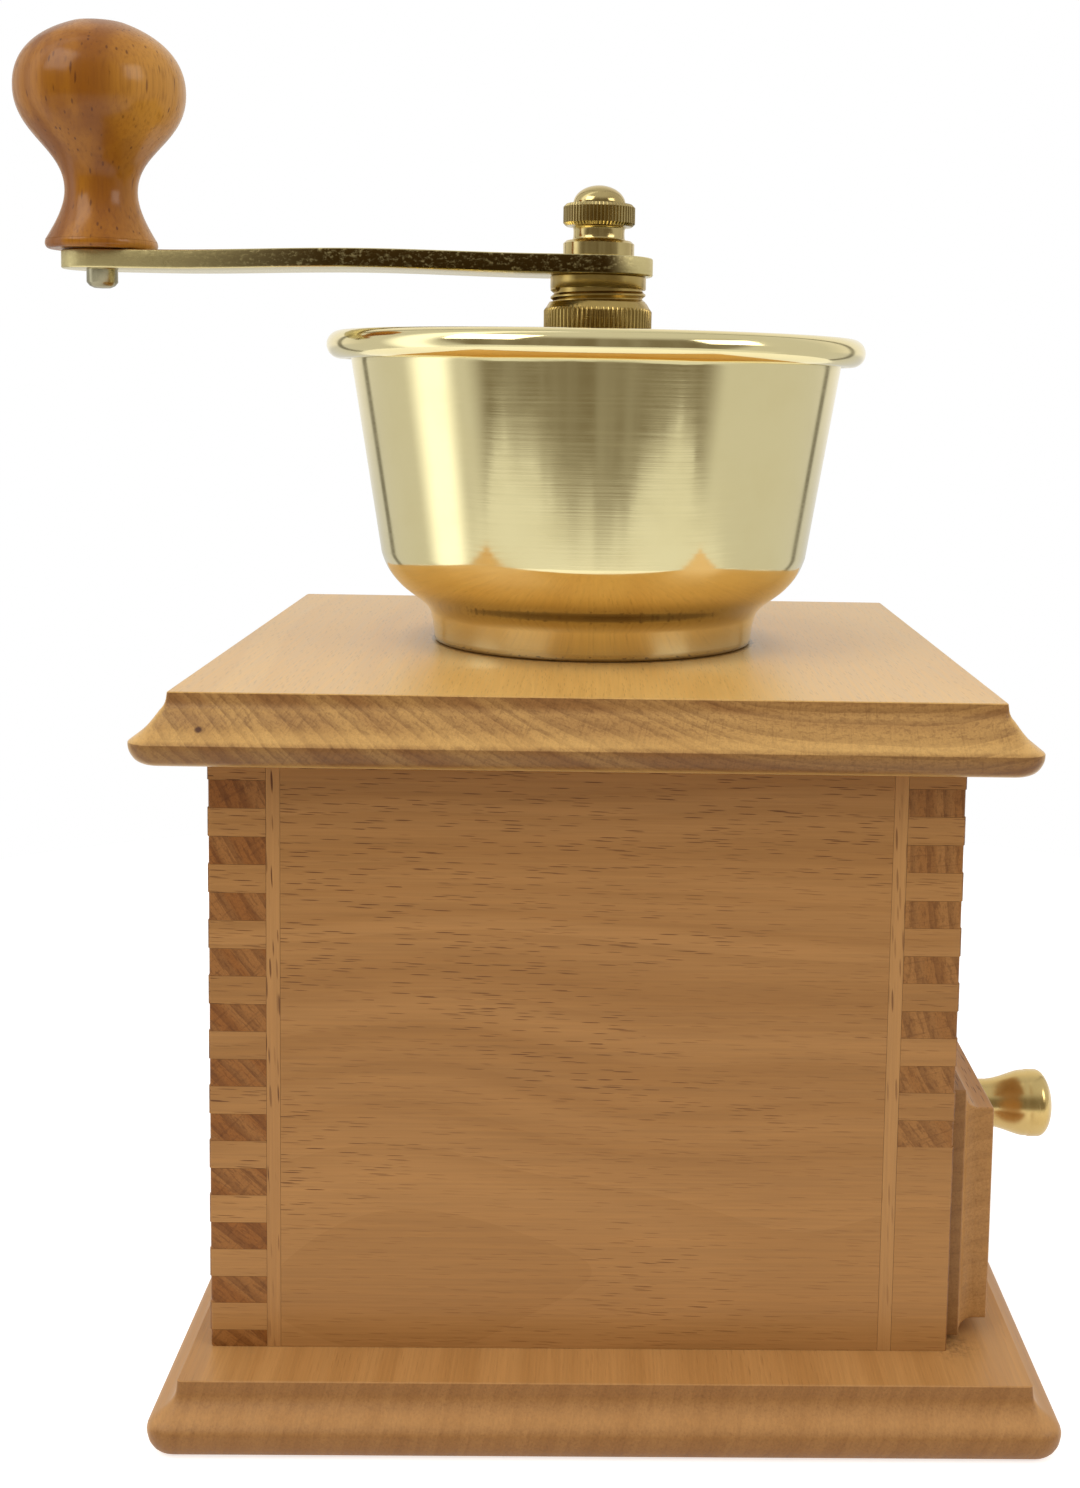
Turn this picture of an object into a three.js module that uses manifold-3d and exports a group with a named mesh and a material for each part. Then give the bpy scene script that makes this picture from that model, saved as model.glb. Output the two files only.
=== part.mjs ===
// A hand coffee mill with a finger-jointed beech case, a drawer and an open brass hopper.
// Millimetres, +Z up. The origin is under the spindle, on the surface that the base stands on.
// +X is the front, where the drawer opens, and the crank rests over the back, towards -X.
import * as THREE from "three";
import { mergeVertices } from "three/addons/utils/BufferGeometryUtils.js";
import Module from "manifold-3d";

const wasm = await Module();
wasm.setup();

// Case: four panels joined by fingers, between a moulded base and a moulded top.
const CASE_WIDTH = 105.6;
const CASE_HEIGHT = 85.8;
const PANEL = 8;
const FINGER = 4;
const TOP_FINGER = 3.3; // the first one, which the case's upper edge cuts down
const FRONT_FINGERS = 14; // the front panel is this many fingers high, and the drawer goes under it
const GLUE_LINE = 0.04;
const STRIP_WIDTH = 2;
const STRIP_DEPTH = 1;

// Base and top boards: overhangs run from the case to the sharp upper edge, mouldings stand out further.
const BASE_THICKNESS = 9.5;
const BASE_OVERHANG_SIDE = 8.8;
const BASE_OVERHANG_BACK = 2.6;
const BASE_OVERHANG_FRONT = 10.4;
const BASE_MOULDING = 4.2;
const BASE_NOSE_RISE = 3.6;
const TOP_THICKNESS = 9.7;
const TOP_OVERHANG = 4.3;
const TOP_MOULDING = 5.1;
const TOP_NOSE_RISE = 2.9;
const NOSE_DEPTH = 2.6;
const NOSE_TURN = 65; // degrees above level where the nose ends in a crease
const MOULDING_HOLLOW = 0.35; // of the way from a flat chamfer to a square step
const QUIRK = 0.4;

// Base screws.
const WOOD_SCREW_RADIUS = 1.6;
const WOOD_SCREW_HEAD_RADIUS = 3.4;
const WOOD_SCREW_HEAD = 2.6;
const WOOD_SCREW_HEAD_EDGE = 0.4;
const WOOD_SCREW_LENGTH = 24;
const WOOD_SCREW_INSET = 18; // from the case's corner along the side panel
const SCREW_CLEARANCE = 0.3;
const SCREW_RECESS = 0.5;

// Drawer.
const DRAWER_TRAVEL_GAP = 0.4; // between the drawer and what it slides in
const DRAWER_REST_GAP = 0.3; // between the drawer front and the case when shut
const DRAWER_WALL = 5;
const DRAWER_BACK_SPACE = 1.4;
const DRAWER_FLOOR = 3;
const DRAWER_HEADROOM = 1.1; // over its walls
const DRAWER_FRONT_INSET = 2.8; // from the case's sides
const DRAWER_FRONT_LAP = 7.3; // over the panel above it
const DRAWER_FRONT_THICKNESS = 6.5;
const DRAWER_FRONT_LIP = 2; // full-size edge behind the cove
const DRAWER_FRONT_FLAT = 2; // edge of the field in front of the cove
const DRAWER_COVE_TOP = 3.4; // depths of the cove
const DRAWER_COVE_SIDE = 2;
const DRAWER_COVE_LOW = 1.6;
const DRAWER_FRONT_RISE = 0.8; // above the base
const KNOB_HEIGHT = 15.6; // of the drawer knob's axis above the base

// Drawer knob, a turned trumpet, and the screw that holds it from inside.
const PULL_FOOT_RADIUS = 5;
const PULL_FOOT = 1.6;
const PULL_FOOT_SLOPE = 0.6;
const PULL_NECK_RADIUS = 4;
const PULL_HEAD_RADIUS = 5.6;
const PULL_LENGTH = 20.8;
const PULL_HEAD = 4.3; // length of the flat rim and the dome
const PULL_DOME = 2;
const PULL_NECK_LENGTH = 10.4;
const PULL_FLARE = 0.35; // of the way out at half the flare
const PULL_SCREW_RADIUS = 1.9;
const PULL_SCREW_HEAD_RADIUS = 3.6;
const PULL_SCREW_HEAD = 2.2;
const PULL_SCREW_POINT = 0.5;
const PULL_SCREW_REACH = 11;
const BLIND_ROOM = 0.5; // past the end of a screw in its hole

// Hopper bowl, spun from sheet brass.
const BOWL_SHEET = 1;
const BOWL_FOOT_RADIUS = 26.3;
const BOWL_NECK = 3.6;
const BOWL_WALL_LOW_RADIUS = 34.95;
const BOWL_WALL_LOW = 13.5;
const BOWL_COVE = 5.6; // how far the shoulder's curve is drawn up from the neck
const BOWL_TURN = 5.1; // how far it is drawn down from the wall
const BOWL_WALL_HIGH_RADIUS = 40.18;
const BOWL_WALL_HIGH = 45.9;
const BEAD_RADIUS = 2.25;
const BEAD_CENTRE_RADIUS = 41.85;
const BEAD_CENTRE = 48.1;
const THROAT_RADIUS = 15;
const BOWL_SEAT_GAP = 0.05;

// Yoke that carries the upper bearing, bent from steel strip, with its feet across Y.
const YOKE_STRIP = 2;
const YOKE_WIDTH = 11;
const YOKE_TOP = 48.6; // of its upper face above the top board
const YOKE_SPAN = 33; // over the legs
const YOKE_BEND = 4;
const YOKE_FOOT_ROOM = 0.4; // to the bowl
const BUSH_WALL = 1.05;
const BUSH_LIP = 1.8; // of its flange
const BUSH_FLANGE = 0.9;
const BUSH_LENGTH = 7;

// Slotted wood screws: four hold the bowl and its yoke, four more the burr housing from below.
const SCREW_RADIUS = 1.75;
const SCREW_POINT = 2.5;
const SCREW_HEAD_RADIUS = 3.2;
const SCREW_HEAD = 2;
const SCREW_SLOT = 0.8;
const SCREW_SLOT_DEPTH = 0.9;
const SCREW_BITE = 6.5; // into the top board

// Burr housing, burrs and the lower bearing bridge.
const HOUSING_SCREW_ROOM = 1.4; // between the screw heads and the wall
const HOUSING_RIM = 0.5; // outside the screw heads
const HOUSING_FLANGE = 3;
const HOUSING_WALL = 3;
const HOUSING_DEPTH = 29;
const HOUSING_LEDGE = 5;
const RING_WALL = 1; // at the thinnest place
const RING_HEIGHT = 18;
const RING_FLARE = 1.6; // from its lower to its upper end
const BURR_GAP = 0.7;
const BURR_LOW_RADIUS = 15.6;
const BURR_TOP_RADIUS = 7.5;
const BURR_HEIGHT = 22;
const BURR_TEETH = 12;
const RING_TEETH = 20;
const BURR_TOOTH = 0.9;
const BURR_TWIST = 55; // degrees over the height
const BURR_PIN_DROP = 4; // below the burr's upper end
const BRIDGE_WIDTH = 11;
const BRIDGE_THICKNESS = 4;

// Machine screws of the bridge and of the outer burr.
const SMALL_SCREW_RADIUS = 1.5;
const SMALL_SCREW_POINT = 0.5;
const SMALL_SCREW_HEAD_RADIUS = 2.8;
const SMALL_SCREW_HEAD = 1.8;
const LEDGE_SKIN = 0.7; // left over the bridge screws' holes
const RING_SCREW_BITE = 1.2; // into the outer burr
const RING_SCREW_RISE = 4; // of its axis over the ring's lower end

// Spindle and what turns with it.
const SPINDLE_RADIUS = 4;
const SPINDLE_TIP_RADIUS = 3;
const COLLAR_LIP = 0.8; // outside the spring
const SPINDLE_COLLAR = 2;
const SPINDLE_FLAT = 0.9; // depth of the flat that keys the thrust washer
const SPINDLE_FLAT_RUN = 1.2; // below the washer
const SPINDLE_END = 1; // below the bridge
const SPINDLE_CONE = 1; // from the tip's radius to the spindle's
const SQUARE = 5.5;
const TOP_THREAD_RADIUS = 2.4;
const TOP_THREAD_LENGTH = 9.5;
const RUNNING = 0.15; // radial clearance of turning fits
const SEAT_GAP = 0.3;
const PRESS_GAP = 0.05;
const BURR_PIN_RADIUS = 1.2;
const SPRING_ROOM = 1; // round the spindle
const SPRING_WIRE_RADIUS = 0.6;
const SPRING_TURNS = 7;
const SPRING_LENGTH = 22;

// Grind adjustment: a knurled nut on a coarse brass sleeve, over a keyed washer.
const WASHER_RADIUS = 7.4;
const WASHER = 0.8;
const ADJUSTER_WALL = 1.03;
const ADJUSTER_HEIGHT = 5.4;
const ADJUSTER_CHAMFER = 0.6;
const ADJUSTER_CHAMFER_HEIGHT = 1.3;
const ADJUSTER_TEETH = 32;
const SLEEVE_RADIUS = 7.87;
const SLEEVE_LENGTH = 8.6;
const SLEEVE_COLLAR = 2.1;
const THREAD_PITCH = 1.3;
const THREAD_DEPTH = 0.5;
const SLEEVE_LIFT_ROOM = 1.1; // under the sleeve, above the washer
const KNURL = 0.3;

// Crank arm, cap nut and wooden knob.
const CRANK_RADIUS = 81.2;
const ARM = 3;
const ARM_HUB_RADIUS = 8.95;
const ARM_TIP_RADIUS = 6.4;
const ARM_RISE = 1.3; // of its middle over the hub
const ARM_TIP_DROP = 0.6;
const CAP_FLANGE_RADIUS = 5.86;
const CAP_FLANGE = 2.65;
const CAP_NECK_RADIUS = 4.2;
const CAP_NECK = 2.35;
const CAP_RING_RADIUS = 5.9;
const CAP_RING = 3.6;
const CAP_CHAMFER = 0.5;
const CAP_DOME = 3.1;
const CAP_TEETH = 24;
const GRIP_FOOT_RADIUS = 8.95;
const GRIP_WAIST_RADIUS = 5.75;
const GRIP_WAIST = 9;
const GRIP_RADIUS = 13.55;
const GRIP_HEIGHT = 36.75;
const GRIP_BELLY = 24.6; // height of the widest place
const GRIP_HOLLOW = 6.5; // how far the curve is drawn up from the waist
const GRIP_SWELL = 8.2; // and down from the widest place
const GRIP_ROUNDING = 1.5; // of the foot
const GRIP_SINK = 1.6; // of the screw's head
const GRIP_SCREW_RADIUS = 3;
const GRIP_SCREW_HEAD_RADIUS = 3.8;
const GRIP_SCREW_HEAD = 2.2;
const GRIP_SCREW_TAIL = 2.9;
const GRIP_SCREW_TAIL_RADIUS = 2.5;
const GRIP_SCREW_TAIL_EDGE = 0.6;

// Facets of the round pieces.
const FINE = 40;
const ROUND = 28;
const SMALL = 14;

// Levels, from the floor up.
const half = CASE_WIDTH / 2;
const inner = half - PANEL;
const baseTop = BASE_THICKNESS;
const caseBottom = baseTop + GLUE_LINE;
const caseTop = caseBottom + CASE_HEIGHT;
const frontBottom = caseTop - TOP_FINGER - (FRONT_FINGERS - 1) * FINGER;
const topUnder = caseTop + GLUE_LINE;
const topFace = topUnder + TOP_THICKNESS;
const bowlFloor = topFace + BOWL_SEAT_GAP;
const bowlInside = bowlFloor + BOWL_SHEET;
const yokeTop = topFace + YOKE_TOP;
const yokeLeg = YOKE_SPAN / 2;
const yokeFootEnd = Math.sqrt((BOWL_FOOT_RADIUS - BOWL_SHEET - YOKE_FOOT_ROOM) ** 2 - (YOKE_WIDTH / 2) ** 2);
const bushRadius = SPINDLE_RADIUS + RUNNING + BUSH_WALL;
const bushTop = yokeTop + PRESS_GAP + BUSH_FLANGE;
const washerBottom = bushTop + PRESS_GAP;
const washerTop = washerBottom + WASHER;
const adjusterBottom = washerTop + PRESS_GAP;
const sleeveBottom = washerTop + SLEEVE_LIFT_ROOM;
const sleeveTop = sleeveBottom + SLEEVE_LENGTH;
const armBottom = sleeveTop + PRESS_GAP;
const armTop = armBottom + ARM;
const capBottom = armTop + PRESS_GAP;
const gripArmTop = armTop - ARM_TIP_DROP;
const gripBottom = gripArmTop + SEAT_GAP;
const ringLowRadius = BURR_LOW_RADIUS + BURR_GAP;
const ringTopRadius = ringLowRadius + RING_FLARE;
const ringRadius = ringTopRadius + BURR_TOOTH + RING_WALL;
const housingBore = ringRadius + PRESS_GAP;
const housingRadius = housingBore + HOUSING_WALL;
const housingScrewCircle = housingRadius + HOUSING_SCREW_ROOM + SCREW_HEAD_RADIUS;
const housingTop = topUnder - PRESS_GAP;
const housingBottom = housingTop - HOUSING_DEPTH;
const ringBottom = housingBottom + HOUSING_LEDGE + PRESS_GAP;
const burrBottom = ringBottom;
const burrTop = burrBottom + BURR_HEIGHT;
const burrPinZ = burrTop - BURR_PIN_DROP;
const bridgeTop = housingBottom - PRESS_GAP;
const bridgeBottom = bridgeTop - BRIDGE_THICKNESS;
const bushBottom = yokeTop - BUSH_LENGTH;
const springTop = bushBottom - SEAT_GAP;
const springBottom = springTop - SPRING_LENGTH;
const collarTop = springBottom - SEAT_GAP;
const springRadius = SPINDLE_RADIUS + SPRING_ROOM + SPRING_WIRE_RADIUS;
const threadTop = armTop + TOP_THREAD_LENGTH;

const beech = { color: 0xd9a066, roughness: 0.55, metalness: 0 };
const beechEnd = { color: 0xb98050, roughness: 0.65, metalness: 0 };
const gripWood = { color: 0xb06f2c, roughness: 0.25, metalness: 0 };
const brass = { color: 0xd8c070, roughness: 0.2, metalness: 1 };
const steel = { color: 0xa8a8a4, roughness: 0.35, metalness: 1 };
const castIron = { color: 0x4a4a48, roughness: 0.7, metalness: 0.8 };

const mill = new THREE.Group();

// A named piece in its own material, placed at a point of the group that holds it.
function piece(name, geometry, look, place = [0, 0, 0], holder = mill) {
  const mesh = new THREE.Mesh(geometry, new THREE.MeshStandardMaterial(look));
  mesh.name = name;
  mesh.position.set(...place);
  holder.add(mesh);
  return mesh;
}

// Booleans on closed geometries.
function solid(geometry) {
  const bare = geometry.index ? geometry.toNonIndexed() : geometry.clone();
  bare.deleteAttribute("normal");
  bare.deleteAttribute("uv");
  const merged = mergeVertices(bare, 1e-4);
  return new wasm.Manifold(
    new wasm.Mesh({
      numProp: 3,
      vertProperties: merged.attributes.position.array,
      triVerts: new Uint32Array(merged.index.array),
    }),
  );
}

function geometryOf(made) {
  const mesh = made.getMesh();
  const geometry = new THREE.BufferGeometry();
  geometry.setAttribute("position", new THREE.BufferAttribute(mesh.vertProperties, 3));
  geometry.setIndex(new THREE.BufferAttribute(mesh.triVerts, 1));
  geometry.computeVertexNormals();
  return geometry;
}

function cut(stock, ...tools) {
  return geometryOf(tools.reduce((left, tool) => left.subtract(solid(tool)), solid(stock)));
}

function join(...parts) {
  return geometryOf(parts.map(solid).reduce((whole, part) => whole.add(part)));
}

function common(a, b) {
  return geometryOf(solid(a).intersect(solid(b)));
}

// A block between two corners.
function block([x0, x1], [y0, y1], [z0, z1]) {
  const box = new THREE.BoxGeometry(x1 - x0, y1 - y0, z1 - z0);
  return box.translate((x0 + x1) / 2, (y0 + y1) / 2, (z0 + z1) / 2);
}

// A solid of revolution about Z from a closed or axis-to-axis profile of [radius, height] points.
function turned(profile, facets = ROUND) {
  const points = profile.map(([r, z]) => new THREE.Vector2(Math.max(r, 0), z));
  if (THREE.ShapeUtils.area(points) < 0) points.reverse();
  if (points[0].x > 0) points.push(points[0].clone());
  return new THREE.LatheGeometry(points, facets).rotateX(Math.PI / 2);
}

function rod(radius, z0, z1, facets = SMALL) {
  return turned([[0, z0], [radius, z0], [radius, z1], [0, z1]], facets);
}

// Points on an ellipse's arc, in degrees counterclockwise from +X.
function arc([cx, cy], rx, ry, from, to, steps) {
  return Array.from({ length: steps + 1 }, (_, i) => {
    const angle = THREE.MathUtils.degToRad(from + ((to - from) * i) / steps);
    return [cx + rx * Math.cos(angle), cy + ry * Math.sin(angle)];
  });
}

// An outline drawn in a plane and extruded across it, between two places on the third axis.
const X = new THREE.Vector3(1, 0, 0);
const Y = new THREE.Vector3(0, 1, 0);
const Z = new THREE.Vector3(0, 0, 1);
function extruded(outline, from, to, plane = "xy") {
  const shape = new THREE.Shape(outline.map(([u, v]) => new THREE.Vector2(u, v)));
  const geometry = new THREE.ExtrudeGeometry(shape, { depth: to - from, bevelEnabled: false });
  const turn = new THREE.Matrix4();
  if (plane === "yz") turn.makeBasis(Y, Z, X);
  if (plane === "xz") turn.makeBasis(X, Z, Y.clone().negate());
  geometry.applyMatrix4(turn);
  if (plane === "xy") return geometry.translate(0, 0, from);
  return plane === "yz" ? geometry.translate(from, 0, 0) : geometry.translate(0, to, 0);
}

// A ring of teeth as an outline, for knurls.
function toothed(radius, depth, teeth) {
  return Array.from({ length: teeth * 2 }, (_, i) => {
    const angle = (Math.PI * i) / teeth;
    const r = radius - (i % 2) * depth;
    return [r * Math.cos(angle), r * Math.sin(angle)];
  });
}

// A pair of places, mirrored by the sign, from low to high.
function sided(sign, ...places) {
  return places.map((place) => sign * place).sort((a, b) => a - b);
}

// Corner joints: finger 0 is the side panel's, at the top, and odd ones are end grain.
const fingerCount = 1 + Math.ceil((CASE_HEIGHT - TOP_FINGER) / FINGER);
function fingerSpan(index) {
  const low = caseTop - TOP_FINGER - index * FINGER;
  return [Math.max(low, caseBottom), Math.min(low + FINGER, caseTop)];
}

function slots(parity, count, margin, place) {
  const found = [];
  for (let i = parity; i < count; i += 2) {
    const [low, high] = fingerSpan(i);
    const lowest = i === fingerCount - 1 ? low - 1 : low - margin;
    const highest = i === 0 ? high + 1 : high + margin;
    found.push(place([lowest, highest]));
  }
  return found;
}

// One side panel, on the side given by its sign in Y, with its two inlaid strips.
const sideScrewX = half - WOOD_SCREW_INSET;
function sidePanel(sign, label) {
  const depths = sided(sign, inner, half);
  const reach = inner - GLUE_LINE;
  const wide = [depths[0] - 1, depths[1] + 1];
  const backSlots = slots(1, fingerCount, 0, (z) => block([-half - 1, -reach], wide, z));
  const frontSlots = slots(1, FRONT_FINGERS, 0, (z) => block([reach, half + 1], wide, z));
  const grooves = [-1, 1].map((end) => {
    const xs = sided(end, inner - STRIP_WIDTH, inner);
    return block(xs, sided(sign, half - STRIP_DEPTH, half + 1), [caseBottom - 1, caseTop + 1]);
  });
  const pilots = [-sideScrewX, sideScrewX].map((x) =>
    rod(WOOD_SCREW_RADIUS + SCREW_CLEARANCE, caseBottom - 1, SCREW_RECESS + WOOD_SCREW_LENGTH + 1)
      .translate(x, sign * (half - PANEL / 2), 0),
  );
  const stock = block([-half, half], depths, [caseBottom, caseTop]);
  piece(`case_side_${label}`, cut(stock, ...backSlots, ...frontSlots, ...grooves, ...pilots), beech);
  for (const [end, where] of [[-1, "back"], [1, "front"]]) {
    const xs = sided(end, inner - STRIP_WIDTH + GLUE_LINE, inner - GLUE_LINE);
    const ys = sided(sign, half - STRIP_DEPTH + GLUE_LINE, half);
    piece(`inlay_strip_${label}_${where}`, block(xs, ys, [caseBottom, caseTop]), beech);
  }
}

// The back or front panel, whose fingers show as end grain on the sides.
function endPanel(name, sign, bottom, count) {
  const xs = sided(sign, inner, half);
  const wide = [xs[0] - 1, xs[1] + 1];
  const notch = inner - GLUE_LINE;
  const ends = [[-half - 1, -notch], [notch, half + 1]];
  const cuts = ends.flatMap((ys) => slots(0, count, GLUE_LINE, (z) => block(wide, ys, z)));
  piece(name, cut(block(xs, [-half, half], [bottom, caseTop]), ...cuts), beechEnd);
}

// Half of a board's section: nose, cove and quirk, as [outset, height] from the bottom up.
function moulding(thickness, outset, rise) {
  const nose = arc([outset - NOSE_DEPTH, rise], NOSE_DEPTH, rise, -90, NOSE_TURN, 6);
  const crease = new THREE.Vector2(...nose.at(-1));
  const coveTop = new THREE.Vector2(QUIRK, thickness - 2 * QUIRK);
  const deepest = crease.clone().lerp(coveTop, 0.5).lerp(new THREE.Vector2(QUIRK, crease.y), MOULDING_HOLLOW);
  const cove = new THREE.QuadraticBezierCurve(crease, deepest, coveTop).getPoints(4).slice(1);
  return [...nose, ...cove.map((p) => [p.x, p.y]), [QUIRK, thickness - QUIRK], [0, thickness]];
}

// A board moulded on all four edges: two runs of the same section that cross.
function mouldedBoard([x0, x1], [y0, y1], bottom, section) {
  const run = (low, high) => [
    ...section.map(([out, z]) => [high + out, bottom + z]),
    ...section.map(([out, z]) => [low - out, bottom + z]).reverse(),
  ];
  const spare = 10;
  const alongY = extruded(run(x0, x1), y0 - spare, y1 + spare, "xz");
  const alongX = extruded(run(y0, y1), x0 - spare, x1 + spare, "yz");
  return common(alongY, alongX);
}

// A countersunk wood screw from below, and the hole that it goes up in.
function baseScrew() {
  const low = SCREW_RECESS;
  return turned([
    [0, low],
    [WOOD_SCREW_HEAD_RADIUS, low],
    [WOOD_SCREW_HEAD_RADIUS, low + WOOD_SCREW_HEAD_EDGE],
    [WOOD_SCREW_RADIUS, low + WOOD_SCREW_HEAD],
    [WOOD_SCREW_RADIUS, low + WOOD_SCREW_LENGTH - SCREW_POINT],
    [0, low + WOOD_SCREW_LENGTH],
  ], SMALL);
}

function baseScrewHole() {
  const low = SCREW_RECESS + SCREW_CLEARANCE;
  return turned([
    [0, -1],
    [WOOD_SCREW_HEAD_RADIUS + SCREW_CLEARANCE, -1],
    [WOOD_SCREW_HEAD_RADIUS + SCREW_CLEARANCE, low + WOOD_SCREW_HEAD_EDGE],
    [WOOD_SCREW_RADIUS + SCREW_CLEARANCE, low + WOOD_SCREW_HEAD],
    [WOOD_SCREW_RADIUS + SCREW_CLEARANCE, baseTop + 1],
    [0, baseTop + 1],
  ], SMALL);
}

function caseAndBoards() {
  sidePanel(-1, "near");
  sidePanel(1, "far");
  endPanel("case_back", -1, caseBottom, fingerCount);
  endPanel("case_front", 1, frontBottom, FRONT_FINGERS);

  const screwPlaces = [-1, 1].flatMap((y) => [-1, 1].map((x) =>
    [x * sideScrewX, y * (half - PANEL / 2), 0]));
  const baseX = [-half - BASE_OVERHANG_BACK, half + BASE_OVERHANG_FRONT];
  const baseY = [-half - BASE_OVERHANG_SIDE, half + BASE_OVERHANG_SIDE];
  const baseSection = moulding(BASE_THICKNESS, BASE_MOULDING, BASE_NOSE_RISE);
  const base = mouldedBoard(baseX, baseY, 0, baseSection);
  piece("base_board", cut(base, ...screwPlaces.map((p) => baseScrewHole().translate(...p))), beech);
  screwPlaces.forEach((place, i) => piece(`base_screw_${i + 1}`, baseScrew(), steel, place));

  const topHalf = half + TOP_OVERHANG;
  const topSection = moulding(TOP_THICKNESS, TOP_MOULDING, TOP_NOSE_RISE);
  const top = mouldedBoard([-topHalf, topHalf], [-topHalf, topHalf], topUnder, topSection);
  const throat = rod(THROAT_RADIUS, topUnder - 1, topFace + 1, ROUND);
  const bite = SCREW_BITE + SCREW_CLEARANCE;
  const upper = screwHoles(hopperScrewPlaces, topFace - bite, topFace + 1);
  const lower = screwHoles(housingScrewPlaces, topUnder - 1, topUnder + bite);
  piece("top_board", cut(top, throat, ...upper, ...lower), beech);
}

// Places on a circle round the spindle, the first one turned from +X.
function ring(radius, count, first = 0) {
  return Array.from({ length: count }, (_, i) => {
    const angle = first + (2 * Math.PI * i) / count;
    return [radius * Math.cos(angle), radius * Math.sin(angle), 0];
  });
}
const hopperScrewPlaces = ring((yokeLeg + yokeFootEnd) / 2, 4);
const housingScrewPlaces = ring(housingScrewCircle, 4, Math.PI / 4);

function screwHoles(places, z0, z1) {
  return places.map((place) => rod(SCREW_RADIUS + SCREW_CLEARANCE, z0, z1).translate(...place));
}

// A slotted screw whose head sits on z = 0, with its point down.
function slottedScrew(radius, headRadius, head, point, reach) {
  const screw = turned([
    [0, -reach],
    [radius * 0.4, -reach],
    [radius, point - reach],
    [radius, 0],
    [headRadius, 0],
    [headRadius, head / 2],
    [headRadius - head / 2, head],
    [0, head],
  ], SMALL);
  const across = [-headRadius - 1, headRadius + 1];
  const wide = [-SCREW_SLOT / 2, SCREW_SLOT / 2];
  return cut(screw, block(across, wide, [head - SCREW_SLOT_DEPTH, head + 1]));
}

function panScrew(reach) {
  return slottedScrew(SCREW_RADIUS, SCREW_HEAD_RADIUS, SCREW_HEAD, SCREW_POINT, reach);
}

function smallScrew(reach) {
  return slottedScrew(
    SMALL_SCREW_RADIUS, SMALL_SCREW_HEAD_RADIUS, SMALL_SCREW_HEAD, SMALL_SCREW_POINT, reach);
}

function mountingScrews() {
  hopperScrewPlaces.forEach(([x, y], i) => {
    const onYoke = i % 2 === 1;
    const seat = bowlInside + PRESS_GAP + (onYoke ? YOKE_STRIP + PRESS_GAP : 0);
    piece(`hopper_screw_${i + 1}`, panScrew(seat - topFace + SCREW_BITE), steel, [x, y, seat]);
  });
  const flangeUnder = housingTop - HOUSING_FLANGE - PRESS_GAP;
  housingScrewPlaces.forEach(([x, y], i) => {
    const screw = panScrew(topUnder - flangeUnder + SCREW_BITE).rotateX(Math.PI);
    piece(`housing_screw_${i + 1}`, screw, steel, [x, y, flangeUnder]);
  });
}

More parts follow.
